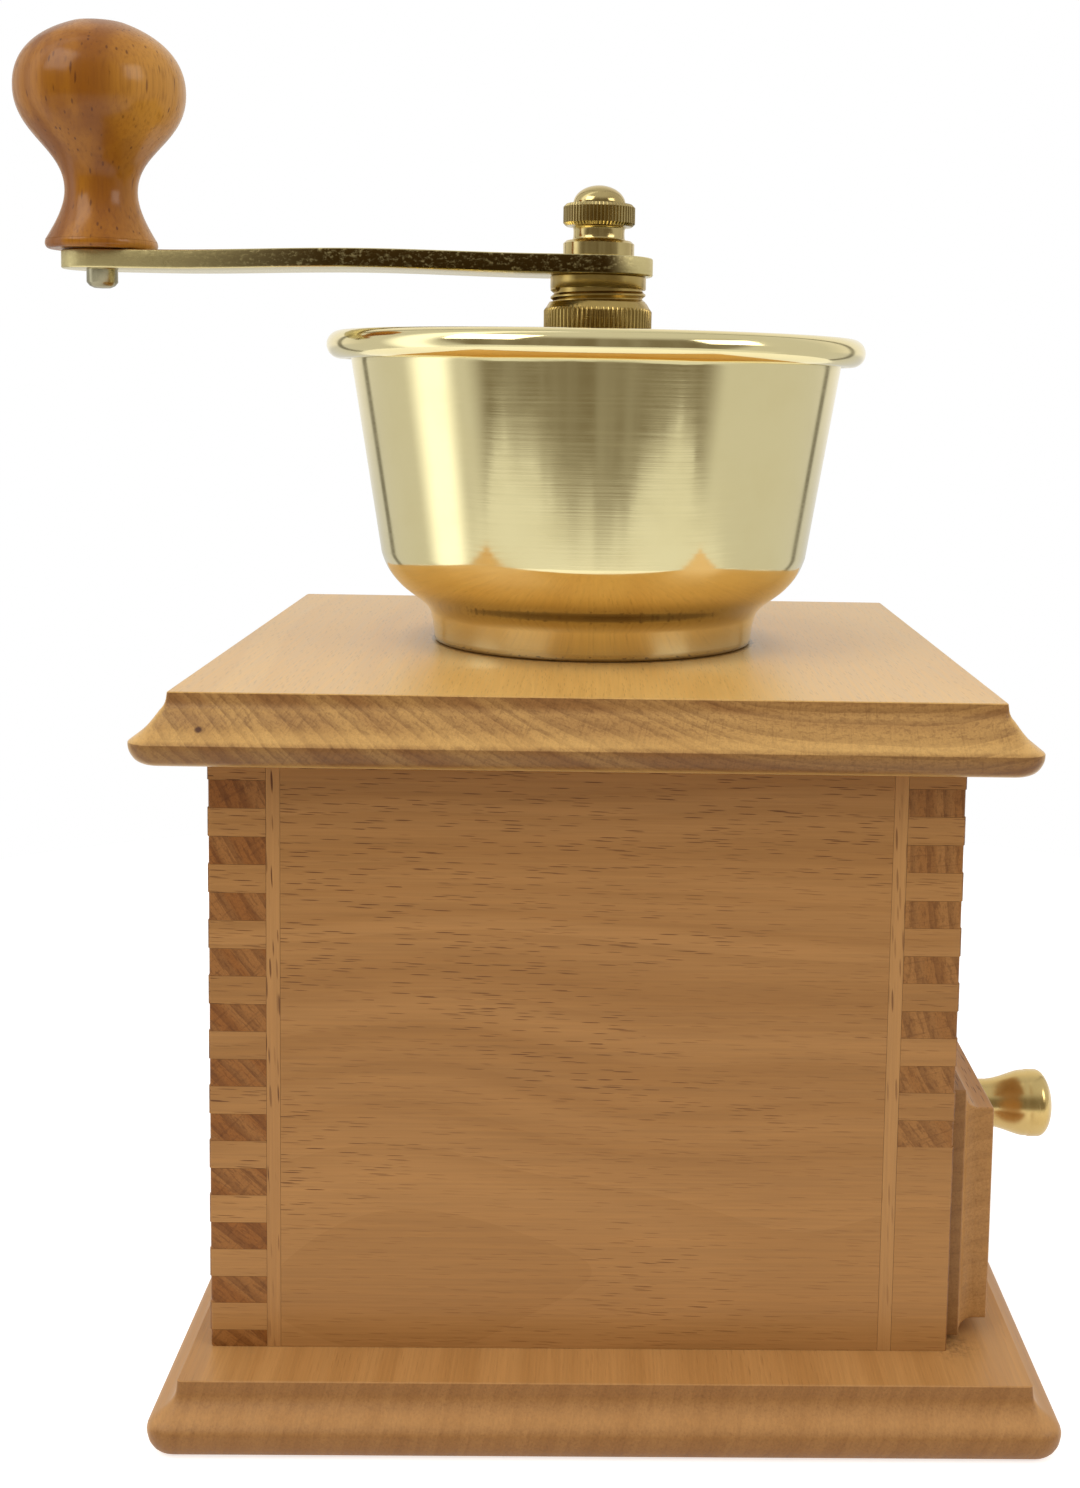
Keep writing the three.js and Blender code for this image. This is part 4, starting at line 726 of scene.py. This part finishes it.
def drawer_front():
    """Loops of (share of the cove's depth, small inset, distance out), bridged from the back to the field."""
    low, high = limits("drawer_front")
    depth = high.x - low.x
    flat_start = depth - FRONT_FLAT
    cove = [(inset, 0, out) for out, inset in arc((flat_start, 0), flat_start - FRONT_LIP, 1, 180, 90, 14)]
    edge = [(0, ARRIS, 0), (0, 0, ARRIS), (0, 0, FRONT_LIP - ARRIS), (0, ARRIS, FRONT_LIP)]
    edge += cove[1:] + [(1, 0, depth - ARRIS), (1, ARRIS, depth)]
    bm = bmesh.new()
    loops = []
    tall, wide = (high.z - low.z) / 2, (high.y - low.y) / 2
    for share, inset, out in edge:
        side = wide - share * COVE_SIDE - inset
        upper = tall - share * COVE_TOP - inset
        lower = share * COVE_LOW + inset - tall
        loops.append(rounded_loop(bm, (-upper, -side), (-lower, side), 0.4, out))
    return moved(bridged(bm, loops), (low.x, 0, (low.z + high.z) / 2), 90, "Y")


def lip_painted_shade(f, place):
    """The thin lip of the drawer's front is darkened: painted shade, as it lies in shadow beside the case."""
    lip = limits("drawer_front")[0].x + FRONT_LIP
    return f.step(f.axes(place)["X"], lip - 0.3, lip + 0.3, 0.3, 0)


drawer_beech = beech("drawer_beech", "Y", (40, 120), (190, 140, 84), (170, 120, 66), (168, 120, 66),
                     (112, 70, 32), lines=0.16, shift=60, dirt_and_shade=lip_painted_shade)
make(drawer_front(), "coved_front", drawer_beech, "drawer", "beech", "drawer_front", smooth=30)

# %% Drawer tray
tray_beech = beech("tray_beech", "X", (-30, -90), (196, 154, 106), (182, 138, 90), (160, 114, 70),
                   (136, 92, 54), ring=4, flecks=0.5, coat=0.1)
back_tray_beech = beech("back_tray_beech", "Y", (30, -70), (192, 150, 102), (178, 134, 86), (160, 114, 70),
                        (136, 92, 54), ring=4, flecks=0.5, coat=0.1)
TRAY = {
    "drawer_bottom": tray_beech,
    "drawer_side_near": tray_beech,
    "drawer_side_far": tray_beech,
    "drawer_back": back_tray_beech,
}
for node, finish in TRAY.items():
    make(soften(node_copy(node), 0.35), f"{node}_board", finish, "drawer", "beech", node, smooth=20)

# %% Drawer pull
pull_low, pull_high = limits("drawer_knob")
PULL_LENGTH = pull_high.x - pull_low.x
PULL_HEAD = (pull_high.z - pull_low.z) / 2
PULL_NECK = 3.9
PULL_BORE, PULL_BORE_DEPTH = 1.95, 5
PULL_DOME = 2.6
flare_start = (PULL_NECK, 9.6)
rim_start = (PULL_HEAD - 0.12, PULL_LENGTH - 4.5)
pull = joined(
    [(PULL_BORE, 0), (4.75, 0), (5, 0.25), (5, 1.2), (4.8, 1.6), (4.1, 2.0), (PULL_NECK, 2.8)],
    bezier((PULL_NECK, 2.8), (PULL_NECK - 0.1, 6), (PULL_NECK, 8), flare_start, 5),
    bezier(flare_start, (4.2, 12.6), (5.6, 14.6), rim_start, 12),
    [(PULL_HEAD, PULL_LENGTH - 4.2), (PULL_HEAD, PULL_LENGTH - PULL_DOME)],
    arc((0, PULL_LENGTH - PULL_DOME), PULL_HEAD, PULL_DOME, 0, 90, 14)[1:],
    [(0, PULL_BORE_DEPTH), (PULL_BORE, PULL_BORE_DEPTH)],
)
pull_place = (pull_low.x, 0, (pull_low.z + pull_high.z) / 2)
make(moved(lathe(pull, 96), pull_place, 90, "Y"), "trumpet_pull", pull_brass, "drawer",
     "polished_brass", "drawer_knob")

# %% [markdown]
# ## The yoke and the spindle
# A strip of steel, bent over the hopper's floor, carries the upper bearing. Its side view is one outline,
# pushed out across, with its long edges rounded. The spindle, its bush and its washer are lathe work.

# %% Yoke
yoke_low, yoke_high = limits("yoke")
STRIP = 2.0
YOKE_BEND = 4.0
FOOT_BEND = 2.6
LEG = 16.5


def slab(points, push, width, segments):
    """A flat outline pushed out into a solid, with both its rims rounded."""
    bm = bmesh.new()
    face = bm.faces.new([bm.verts.new(point) for point in points])
    grown = bmesh.ops.extrude_face_region(bm, geom=[face])["geom"]
    bmesh.ops.translate(bm, vec=push, verts=[v for v in grown if isinstance(v, bmesh.types.BMVert)])
    bmesh.ops.recalc_face_normals(bm, faces=bm.faces)
    rims = [e for e in bm.edges if abs((e.verts[0].co - e.verts[1].co).dot(push)) < 1e-4]
    return bevelled(bm, rims, width, segments)


def yoke():
    floor, crown = yoke_low.z, yoke_high.z
    outer_foot = arc((LEG + 0.6, floor + STRIP + 0.6), 0.6, 0.6, 270, 180, 4)
    outer = joined([(yoke_high.y, floor), (yoke_high.y, floor + STRIP)], outer_foot,
                   arc((LEG - YOKE_BEND, crown - YOKE_BEND), YOKE_BEND, YOKE_BEND, 0, 90, 10))
    inner_bend = YOKE_BEND - STRIP
    inner = joined(arc((LEG - YOKE_BEND, crown - YOKE_BEND), inner_bend, inner_bend, 90, 0, 8),
                   arc((LEG - STRIP + FOOT_BEND, floor + FOOT_BEND), FOOT_BEND, FOOT_BEND, 180, 270, 6))
    outline = outer + [(-y, z) for y, z in outer[::-1]]
    under = [(-y, z) for y, z in inner[::-1]] + inner
    side = [(yoke_low.x, y, z) for y, z in outline + under]
    return slab(side, Vector((yoke_high.x - yoke_low.x, 0, 0)), 0.3, 2)


make(yoke(), "bent_yoke", strip_steel, "case", "steel", "yoke", smooth=35)

# %% Bush, washer and spindle
bush_low, bush_high = limits("yoke_bush")
lip = bush_high.x
BUSH, BUSH_BORE = 5.2, 4.15
bush = [(BUSH_BORE, bush_low.z), (BUSH, bush_low.z), (BUSH, yoke_high.z)]
bush += land(lip, yoke_high.z, bush_high.z, 0.2)
bush += [(BUSH_BORE + 0.2, bush_high.z), (BUSH_BORE, bush_high.z - 0.2)]
make(lathe(bush, 72), "bronze_bush", turned_brass, "case", "turned_brass", "yoke_bush")

washer_low, washer_high = limits("thrust_washer")
WASHER_BORE = 4.1
washer = [(WASHER_BORE, washer_low.z), *land(washer_high.x, washer_low.z, washer_high.z, 0.15)]
washer.append((WASHER_BORE, washer_high.z))
make(lathe(washer, 72), "keyed_washer", bright_steel, "washer", "steel", "thrust_washer")

shaft_low, shaft_high = limits("spindle")
spring_low, spring_high = limits("pressure_spring")
SHAFT, SHAFT_FOOT, SHAFT_NECK = 4.0, 3.0, 2.4
COLLAR = shaft_high.x
LIFT_ROOM = 0.6
collar_top = spring_low.z - LIFT_ROOM
collar_low = collar_top - 2
arm_under = level("crank_arm", 0)
shaft = joined(
    [(0, shaft_low.z), (SHAFT_FOOT - 0.3, shaft_low.z), (SHAFT_FOOT, shaft_low.z + 0.3)],
    [(SHAFT_FOOT, shaft_low.z + 5.6), (SHAFT, shaft_low.z + 7), (SHAFT, collar_low)],
    land(COLLAR, collar_low, collar_top, 0.2),
    [(SHAFT, collar_top), (SHAFT, arm_under), (SHAFT_NECK, arm_under), (SHAFT_NECK, shaft_high.z)],
    [(0, shaft_high.z)],
)
make(lathe(shaft, 72), "turned_spindle", bright_steel, "crank", "steel", "spindle")

# %% [markdown]
# ## The pressure spring
# The spring keeps the inner burr down against the thread. A helix is a spin that also climbs: the wire's
# section turns about the spindle and rises a little at each step. The first and last coils lie flat, so the
# wire climbs by its own thickness there and faster between them.

# %% Spring
WIRE = 0.6
COIL = 5.6
STEPS_PER_TURN = 40


def sealed(bm):
    """Close the two ends of a wound piece."""
    bmesh.ops.holes_fill(bm, edges=bm.edges, sides=0)
    bmesh.ops.recalc_face_normals(bm, faces=bm.faces)
    return bm


def spring():
    bm = bmesh.new()
    bmesh.ops.create_circle(bm, segments=12, radius=WIRE)
    moved(bm, (COIL, 0, spring_low.z + WIRE), 90, "X")
    closed_turns, all_turns = 1.0, 7
    open_turns = all_turns - 2 * closed_turns
    flat_climb = 2.05 * WIRE
    height = spring_high.z - spring_low.z - 2 * WIRE
    open_climb = (height - 2 * closed_turns * flat_climb) / open_turns
    ring = bm.verts[:] + bm.edges[:]
    for turns, climb in ((closed_turns, flat_climb), (open_turns, open_climb), (closed_turns, flat_climb)):
        ring = wind(bm, ring, turns, climb, round(turns * STEPS_PER_TURN))
    return sealed(bm)


make(spring(), "coil_spring", bright_steel, "case", "steel", "pressure_spring")

# %% [markdown]
# ## Knurled brass
# The grind is set by a knurled nut that runs on a threaded sleeve, and a knurled cap nut holds the crank on.
# A straight knurl is many small V grooves. The nut is spun with several steps for each groove, and then every
# point outside the groove's floor is drawn in by how far round the groove it lies. Chamfers stay clean by
# themselves, because they fall below the floor. The thread is a ridge spun round the sleeve while it climbs.

# %% Knurl helper
TOOTH_STEPS = 8


def knurl(bm, radius, depth, teeth, above=0.0):
    """Cut straight V grooves into what stands outside radius - depth, above a height."""
    floor = radius - depth
    for vert in bm.verts:
        reach = math.hypot(vert.co.x, vert.co.y)
        if reach > floor and vert.co.z > above - 0.01:
            round_tooth = (math.atan2(vert.co.y, vert.co.x) / (2 * math.pi) * teeth) % 1
            wave = abs(2 * round_tooth - 1)
            groove = min(1, max(0, 1.6 * wave - 0.35))
            vert.co.xy *= (reach - (reach - floor) * groove) / reach
    return bm


# %% Adjusting nut
nut_low, nut_high = limits("adjusting_nut")
NUT = nut_high.x
NUT_BORE = 7.9
NUT_TEETH, NUT_KNURL = 72, 0.32
nut = [(NUT_BORE, nut_low.z), (NUT - 0.45, nut_low.z), (NUT, nut_low.z + 0.4), (NUT, nut_high.z - 1.4),
       (NUT - 0.3, nut_high.z - 1.0), (NUT - 0.85, nut_high.z - 0.08), (NUT_BORE + 0.08, nut_high.z),
       (NUT_BORE, nut_high.z - 0.1)]
knurled = knurl(lathe(nut, NUT_TEETH * TOOTH_STEPS), NUT, NUT_KNURL, NUT_TEETH)
make(knurled, "knurled_nut", turned_brass, "adjuster", "turned_brass", "adjusting_nut", smooth=25)

# %% Threaded sleeve
sleeve_low, sleeve_high = limits("adjusting_sleeve")
SLEEVE = sleeve_high.x
COLLAR_LENGTH = 2.1
PITCH = 1.3
THREAD = 0.55
SLEEVE_BORE = 4.05
RIDGE_STEPS = 96
core = SLEEVE - THREAD
thread_top = sleeve_high.z - COLLAR_LENGTH
sleeve = [(SLEEVE_BORE, sleeve_low.z), (core - 0.3, sleeve_low.z), (core, sleeve_low.z + 0.3)]
sleeve += [(core, thread_top), (SLEEVE - 0.1, thread_top), (SLEEVE, thread_top + 0.12)]
sleeve += [(SLEEVE, sleeve_high.z - 0.15), (SLEEVE - 0.15, sleeve_high.z), (SLEEVE_BORE, sleeve_high.z)]


def threaded(bm):
    """Add one unbroken ridge, spun round the sleeve while it climbs."""
    half = PITCH / 2
    ridge = [(core - 0.1, -half), (core + 0.05, -0.8 * half), (SLEEVE - 0.04, -0.2 * half),
             (SLEEVE - 0.04, 0.2 * half), (core + 0.05, 0.8 * half), (core - 0.1, half)]
    verts, edges = wire(bm, [(radius, 0, sleeve_low.z + 0.5 + height) for radius, height in ridge])
    turns = (thread_top - sleeve_low.z - 0.55) / PITCH
    wind(bm, verts + edges, turns, PITCH, round(turns * RIDGE_STEPS))
    return sealed(bm)


make(threaded(lathe(sleeve)), "threaded_sleeve", turned_brass, "crank", "turned_brass", "adjusting_sleeve")

# %% Cap nut
cap_low, cap_high = limits("cap_nut")
FLANGE, FLANGE_HEIGHT = 5.85, 2.65
NECK, RING, RING_HEIGHT = 4.2, 5.9, 3.6
CAP_BORE, CAP_BORE_DEPTH = 2.45, 9
CAP_TEETH, CAP_KNURL = 60, 0.3
ring_low = cap_low.z + FLANGE_HEIGHT + 2.35
ring_high = ring_low + RING_HEIGHT
flange_top = cap_low.z + FLANGE_HEIGHT
cap = joined(
    [(CAP_BORE, cap_low.z), (FLANGE - 0.2, cap_low.z), (FLANGE, cap_low.z + 0.2)],
    [(FLANGE, flange_top - 0.45), (FLANGE - 0.5, flange_top)],
    bezier((FLANGE - 0.9, flange_top), (NECK + 0.1, flange_top), (NECK, flange_top + 0.3),
           (NECK, flange_top + 1.2), 6),
    bezier((NECK, ring_low - 0.9), (NECK, ring_low - 0.2), (NECK + 0.2, ring_low), (NECK + 0.7, ring_low), 5),
    land(RING, ring_low, ring_high, 0.5),
    [(NECK + 0.05, ring_high)],
    arc((0, ring_high), NECK + 0.1, cap_high.z - ring_high, 4, 90, 16),
    [(0, cap_low.z + CAP_BORE_DEPTH), (CAP_BORE, cap_low.z + CAP_BORE_DEPTH)],
)
knurled = knurl(lathe(cap, CAP_TEETH * TOOTH_STEPS), RING, CAP_KNURL, CAP_TEETH, ring_low)
make(knurled, "knurled_cap", cap_brass, "crank", "turned_brass", "cap_nut", smooth=25)

# %% [markdown]
# ## The crank
# The arm is a sheared brass bar, wider at the hub than at the tip, that rises a little in its middle. It
# starts as its flat outline, pushed out to its thickness, and is sliced every few millimetres so that each
# slice can be lifted. Its sheared edges are rough and dark from handling, and the tip has been rubbed bright.

# %% Crank arm
arm_low, arm_high = limits("crank_arm")
grip_axis = centre("grip")[0]
HUB = arm_high.x
TIP = grip_axis - arm_low.x
ARM = 3.0
ARM_RISE = 0.55
TIP_DROP = 0.45
SLICES = 30
arm_base = sleeve_high.z + 0.05


def arm_height(x):
    """How far the arm has risen over its hub at a place along it."""
    share = min(1, max(0, (-x - HUB) / (-grip_axis - 2 * HUB)))
    eased = share * share * (3 - 2 * share)
    return ARM_RISE * math.sin(math.pi * share) ** 2 - TIP_DROP * eased


def crank_arm():
    lean = math.degrees(math.asin((HUB - TIP) / -grip_axis))
    plan = arc((0, 0), HUB, HUB, -90 - lean, 90 + lean, 40)
    plan += arc((grip_axis, 0), TIP, TIP, 90 + lean, 270 - lean, 32)
    bm = slab([(x, y, 0) for x, y in plan], Vector((0, 0, ARM)), 0.28, 3)
    for i in range(1, SLICES):
        x = grip_axis - TIP + (HUB + TIP - grip_axis) * i / SLICES
        bmesh.ops.bisect_plane(bm, geom=bm.verts[:] + bm.edges[:] + bm.faces[:], plane_co=(x, 0, 0),
                               plane_no=(1, 0, 0))
    for vert in bm.verts:
        vert.co.z += arm_base + arm_height(vert.co.x)
    return bm


def sheared_brass():
    """Bright plated faces, and edges that are mottled dark in the middle of the arm."""
    f = Finish("sheared_brass", Metallic=1.0)
    place = f.millimetres()
    along = f.axes(place)["X"]
    facing = f.axes(f.add("TexCoord", output="Normal"))
    edge = f.step(f.math("ABSOLUTE", facing["Z"]), 0.8, 0.3)
    mottle = f.noise(place, (1.1, 1.1, 1.6), 4, 0.7)
    tip_worn = f.step(along, grip_axis, grip_axis + 40, 0.25, 1)
    hub_clean = f.step(along, HUB - 1.5, HUB - 8)
    dark = f.times(edge, tip_worn, hub_clean, f.step(mottle, 0.2, 0.5))
    f.give(Base_Color=f.mix(dark, colour((222, 206, 148)), colour((74, 54, 22))))
    f.give(Roughness=f.step(f.times(edge, mottle), 0.1, 0.55, 0.2, 0.46))
    f.bump(f.times(mottle, edge), 0.00012, 0.5)
    return f.material


make(crank_arm(), "sheared_arm", sheared_brass(), "crank", "plated_arm", "crank_arm", smooth=35)

# %% [markdown]
# ## The grip
# The grip is one piece of beech, turned to a small foot, a slim waist and a round belly, stained warm and
# given a thick gloss varnish. It spins on a screw whose head is sunk in the crown, and whose polished tail is
# riveted over under the arm.

# %% Grip
foot = level("grip", 0)
GRIP_BORE = 3.15
SINK = 4.1
sink_floor = foot + 32.9
BELLY = 13.53
belly_height = foot + 25.6
WAIST = (5.74, foot + 9.5)
crown = level("grip", 1)
grip_outline = joined(
    [(GRIP_BORE, foot), (8.3, foot)],
    arc((8.25, foot + 0.9), 0.65, 0.9, -90, 40, 8),
    bezier((8.8, foot + 1.45), (7.6, foot + 3.5), (WAIST[0], foot + 6.6), WAIST, 14),
    bezier(WAIST, (WAIST[0], foot + 16.2), (BELLY, foot + 17.9), (BELLY, belly_height), 26),
    bezier((BELLY, belly_height), (BELLY, foot + 30.6), (10.3, foot + 34), (SINK + 0.4, crown - 0.12), 20),
    [(SINK + 0.12, crown - 0.08), (SINK, crown - 0.3), (SINK, sink_floor), (GRIP_BORE, sink_floor)],
)
grip_wood = moved(lathe(grip_outline, 128), (grip_axis, 0, 0))


def varnished():
    """Stained beech under a thick gloss coat, with upright grain and painted light on its +X side."""
    f = Finish("gloss_beech", Coat_Weight=0.55, Coat_Roughness=0.2, Specular_IOR_Level=0.05)
    place = f.stretch(f.millimetres(), (1, 1, 1), (-grip_axis, 0, 0))
    fibre = f.noise(place, (2.0, 2.0, 0.03), 3, 0.6)
    figure = f.noise(place, (0.22, 0.22, 0.004), 1)
    away, chance = f.cells(place, (1.4, 1.4, 0.16))
    speck = f.times(f.step(away, 0.15, 0.34, 0.7, 0), f.step(chance, 0.65, 0.95))
    # Painted light: the grip's +X side is painted paler, as if more light falls on it from that side.
    painted_side_light = f.step(f.axes(place)["X"], 2, 12.5, 0, 0.75)
    tone = f.mix(f.step(figure, 0.34, 0.66), colour((168, 106, 20)), colour((140, 81, 11)))
    tone = f.mix(painted_side_light, tone, colour((214, 152, 62)))
    tone = f.mix(f.step(fibre, 0.4, 0.8, 0, 0.4), tone, colour((112, 58, 14)))
    tone = f.mix(speck, tone, colour((84, 40, 8)))
    f.give(Base_Color=tone, Roughness=f.step(fibre, 0.3, 0.7, 0.35, 0.5))
    f.bump(f.noise(place, 0.5, 2), 0.0001, 0.08)
    return f.material


make(grip_wood, "turned_grip", varnished(), "grip", "varnished_beech", "grip", smooth=45)

# %% Grip screw
screw_low, screw_high = limits("grip_screw")
TAIL, JOURNAL, HEAD = 2.5, 3.0, 3.8
journal_low = foot - 0.25
head_low = screw_high.z - 2.2
tail = [(0, screw_low.z), (1.3, screw_low.z + 0.08), (2.0, screw_low.z + 0.4), (TAIL, screw_low.z + 1.0),
        (TAIL, journal_low), (JOURNAL, journal_low), (JOURNAL, head_low), (HEAD - 0.1, head_low),
        (HEAD, head_low + 0.1), (HEAD, screw_high.z - 0.5), (HEAD - 0.5, screw_high.z), (0, screw_high.z)]
grip_screw = slotted(tail, screw_high.z, HEAD + 1.2, 64)
make(moved(grip_screw, (grip_axis, 0, 0)), "grip_shoulder_screw", worn_steel, "crank", "steel", "grip_screw")

# %% [markdown]
# ## The working parts inside
# The burrs, their housing, the lower bridge and the small screws stay as the CAD model has them: their
# faceted teeth are real teeth. They only need their metals.

# %% Inner finishes
INSIDE = {
    "burr_housing": cast_iron,
    "lower_bridge": cast_iron,
    "outer_burr": burr_steel,
    "inner_burr": burr_steel,
}
SMALL_STEEL = ("housing_screw", "bridge_screw", "ring_screw", "drawer_knob_screw", "burr_pin")
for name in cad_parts:
    if name.startswith(SMALL_STEEL):
        INSIDE[name] = bright_steel
for name, finish in INSIDE.items():
    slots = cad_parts[name].data.materials
    slots.clear()
    slots.append(finish)
print("inner pieces:", len(INSIDE))

# %% [markdown]
# ## The room
# The mill stands on a white floor in front of a white background. Brass is only as good as what it reflects:
# the room behind the camera is dark over a pale table, one window shines from the left, and the edge of the
# backdrop makes a thin dark line. The world shows plain white to the camera and that room to shiny surfaces,
# and it lights the wood softly from above.

# %% World
world = bpy.data.worlds.new("room")
bpy.context.scene.world = world
world.use_nodes = True
world.node_tree.nodes.clear()
air = Nodes(world.node_tree)

PALE_ROOM = (0.68, 0.68, 0.67, 1)
HORIZON = (0.96, 0.93, 0.86, 1)
TABLE = (0.86, 0.87, 0.86, 1)
GLOOM = (0.2, 0.17, 0.12, 1)
WINDOW = (1.5, 1.55, 1.6, 1)
LINE = (0.12, 0.11, 0.08, 1)
PEAK, PEAK_TOP, PEAK_FLARE = 0.7, -0.303, 6.5

way = air.axes(air.add("TexCoord", output="Generated"))
outward = air.length(way["X"], way["Y"])
behind = air.math("DIVIDE", air.times(way["Y"], -1), outward)
sideways = air.math("DIVIDE", way["X"], outward)
folds = air.noise_along(sideways, 5.5, 3)
table_edge = air.plus(way["Z"], air.step(folds, 0.25, 0.75, -0.012, 0.012))
facing = air.plus(behind, air.times(way["Z"], 0.3))
far_light = air.times(air.step(way["Y"], 0.3, 0.8), air.step(way["Z"], -0.15, 0))
room = air.mix(far_light, PALE_ROOM, HORIZON)
near_table = air.times(air.step(behind, 0.35, 0.6), air.step(way["Z"], -0.3, -0.36))
room = air.mix(near_table, room, TABLE)
from_peak = air.math("ABSOLUTE", air.minus(air.math("ABSOLUTE", sideways), PEAK))
flank = air.times(air.minus(table_edge, PEAK_TOP), -PEAK_FLARE)
peaks = air.step(air.minus(flank, from_peak), -0.04, 0.05)
room = air.mix(air.times(peaks, air.step(behind, 0, 0.2)), room, TABLE)
dark = air.times(air.step(facing, 0.36, 0.56), air.step(table_edge, -0.4, -0.36), air.minus(1, peaks),
                 air.step(way["Z"], 0.45, 0.85, 1, 0), air.step(folds, 0.3, 0.8, 1, 0.75))
room = air.mix(dark, room, GLOOM)
window = air.times(air.step(behind, -0.2, 0.06), air.step(behind, 0.4, 0.2), air.step(sideways, -0.2, -0.6))
room = air.mix(window, room, WINDOW)
line = air.times(air.step(behind, -0.78, -0.74), air.step(behind, -0.67, -0.71), 0.8)
room = air.mix(line, room, LINE)

rays = air.add("LightPath").node.outputs
shiny = air.math("MAXIMUM", rays["Is Glossy Ray"], rays["Is Transmission Ray"])
above = air.step(way["Z"], -0.1, 0.9, 0.45, 1)
soft = air.add("Background", {"Color": (0.97, 0.98, 1, 1), "Strength": above})
mirror = air.add("Background", {"Color": room, "Strength": 1})
white = air.add("Background", {"Color": (1, 1, 1, 1), "Strength": 1})
lit = air.add("MixShader", {0: shiny, 1: soft, 2: mirror})
shown = air.add("MixShader", {0: rays["Is Camera Ray"], 1: lit, 2: white})
surroundings = air.tree.nodes.new("ShaderNodeOutputWorld")
air.feed(surroundings.inputs["Surface"], shown)
print("world nodes:", len(air.tree.nodes))

# %% Floor
FLOOR_RADIUS = 300
GLOW, GLOW_SEEN = 0.36, 0.62
bm = bmesh.new()
bmesh.ops.create_circle(bm, segments=96, radius=FLOOR_RADIUS * MM, cap_ends=True)
floor_piece = loose_object(bm, "floor")
floor_look = Finish("floor", Base_Color=(0.72, 0.72, 0.71, 1), Roughness=0.9, Specular_IOR_Level=0.1)
seen = floor_look.add("LightPath", output="Is Camera Ray")
floor_look.give(Emission_Color=(1, 1, 1, 1), Emission_Strength=floor_look.step(seen, 0, 1, GLOW, GLOW_SEEN))
floor_piece.data.materials.append(floor_look.material)

# %% Lamps
def soft_lamp(name, place, size, power, tint=(1, 1, 1)):
    """A square softbox that faces the mill."""
    lamp = bpy.data.lights.new(name, "AREA")
    lamp.size = size
    lamp.energy = power
    lamp.color = tint
    thing = bpy.data.objects.new(name, lamp)
    aim = Vector((0, 0, 0.1)) - Vector(place)
    thing.matrix_world = Matrix.Translation(place) @ aim.to_track_quat("-Z", "Y").to_matrix().to_4x4()
    bpy.context.scene.collection.objects.link(thing)


soft_lamp("key", (-0.5, -0.42, 0.62), 0.45, 2.0, (1, 0.98, 0.95))
soft_lamp("fill", (0.62, -0.38, 0.5), 0.35, 1.2)
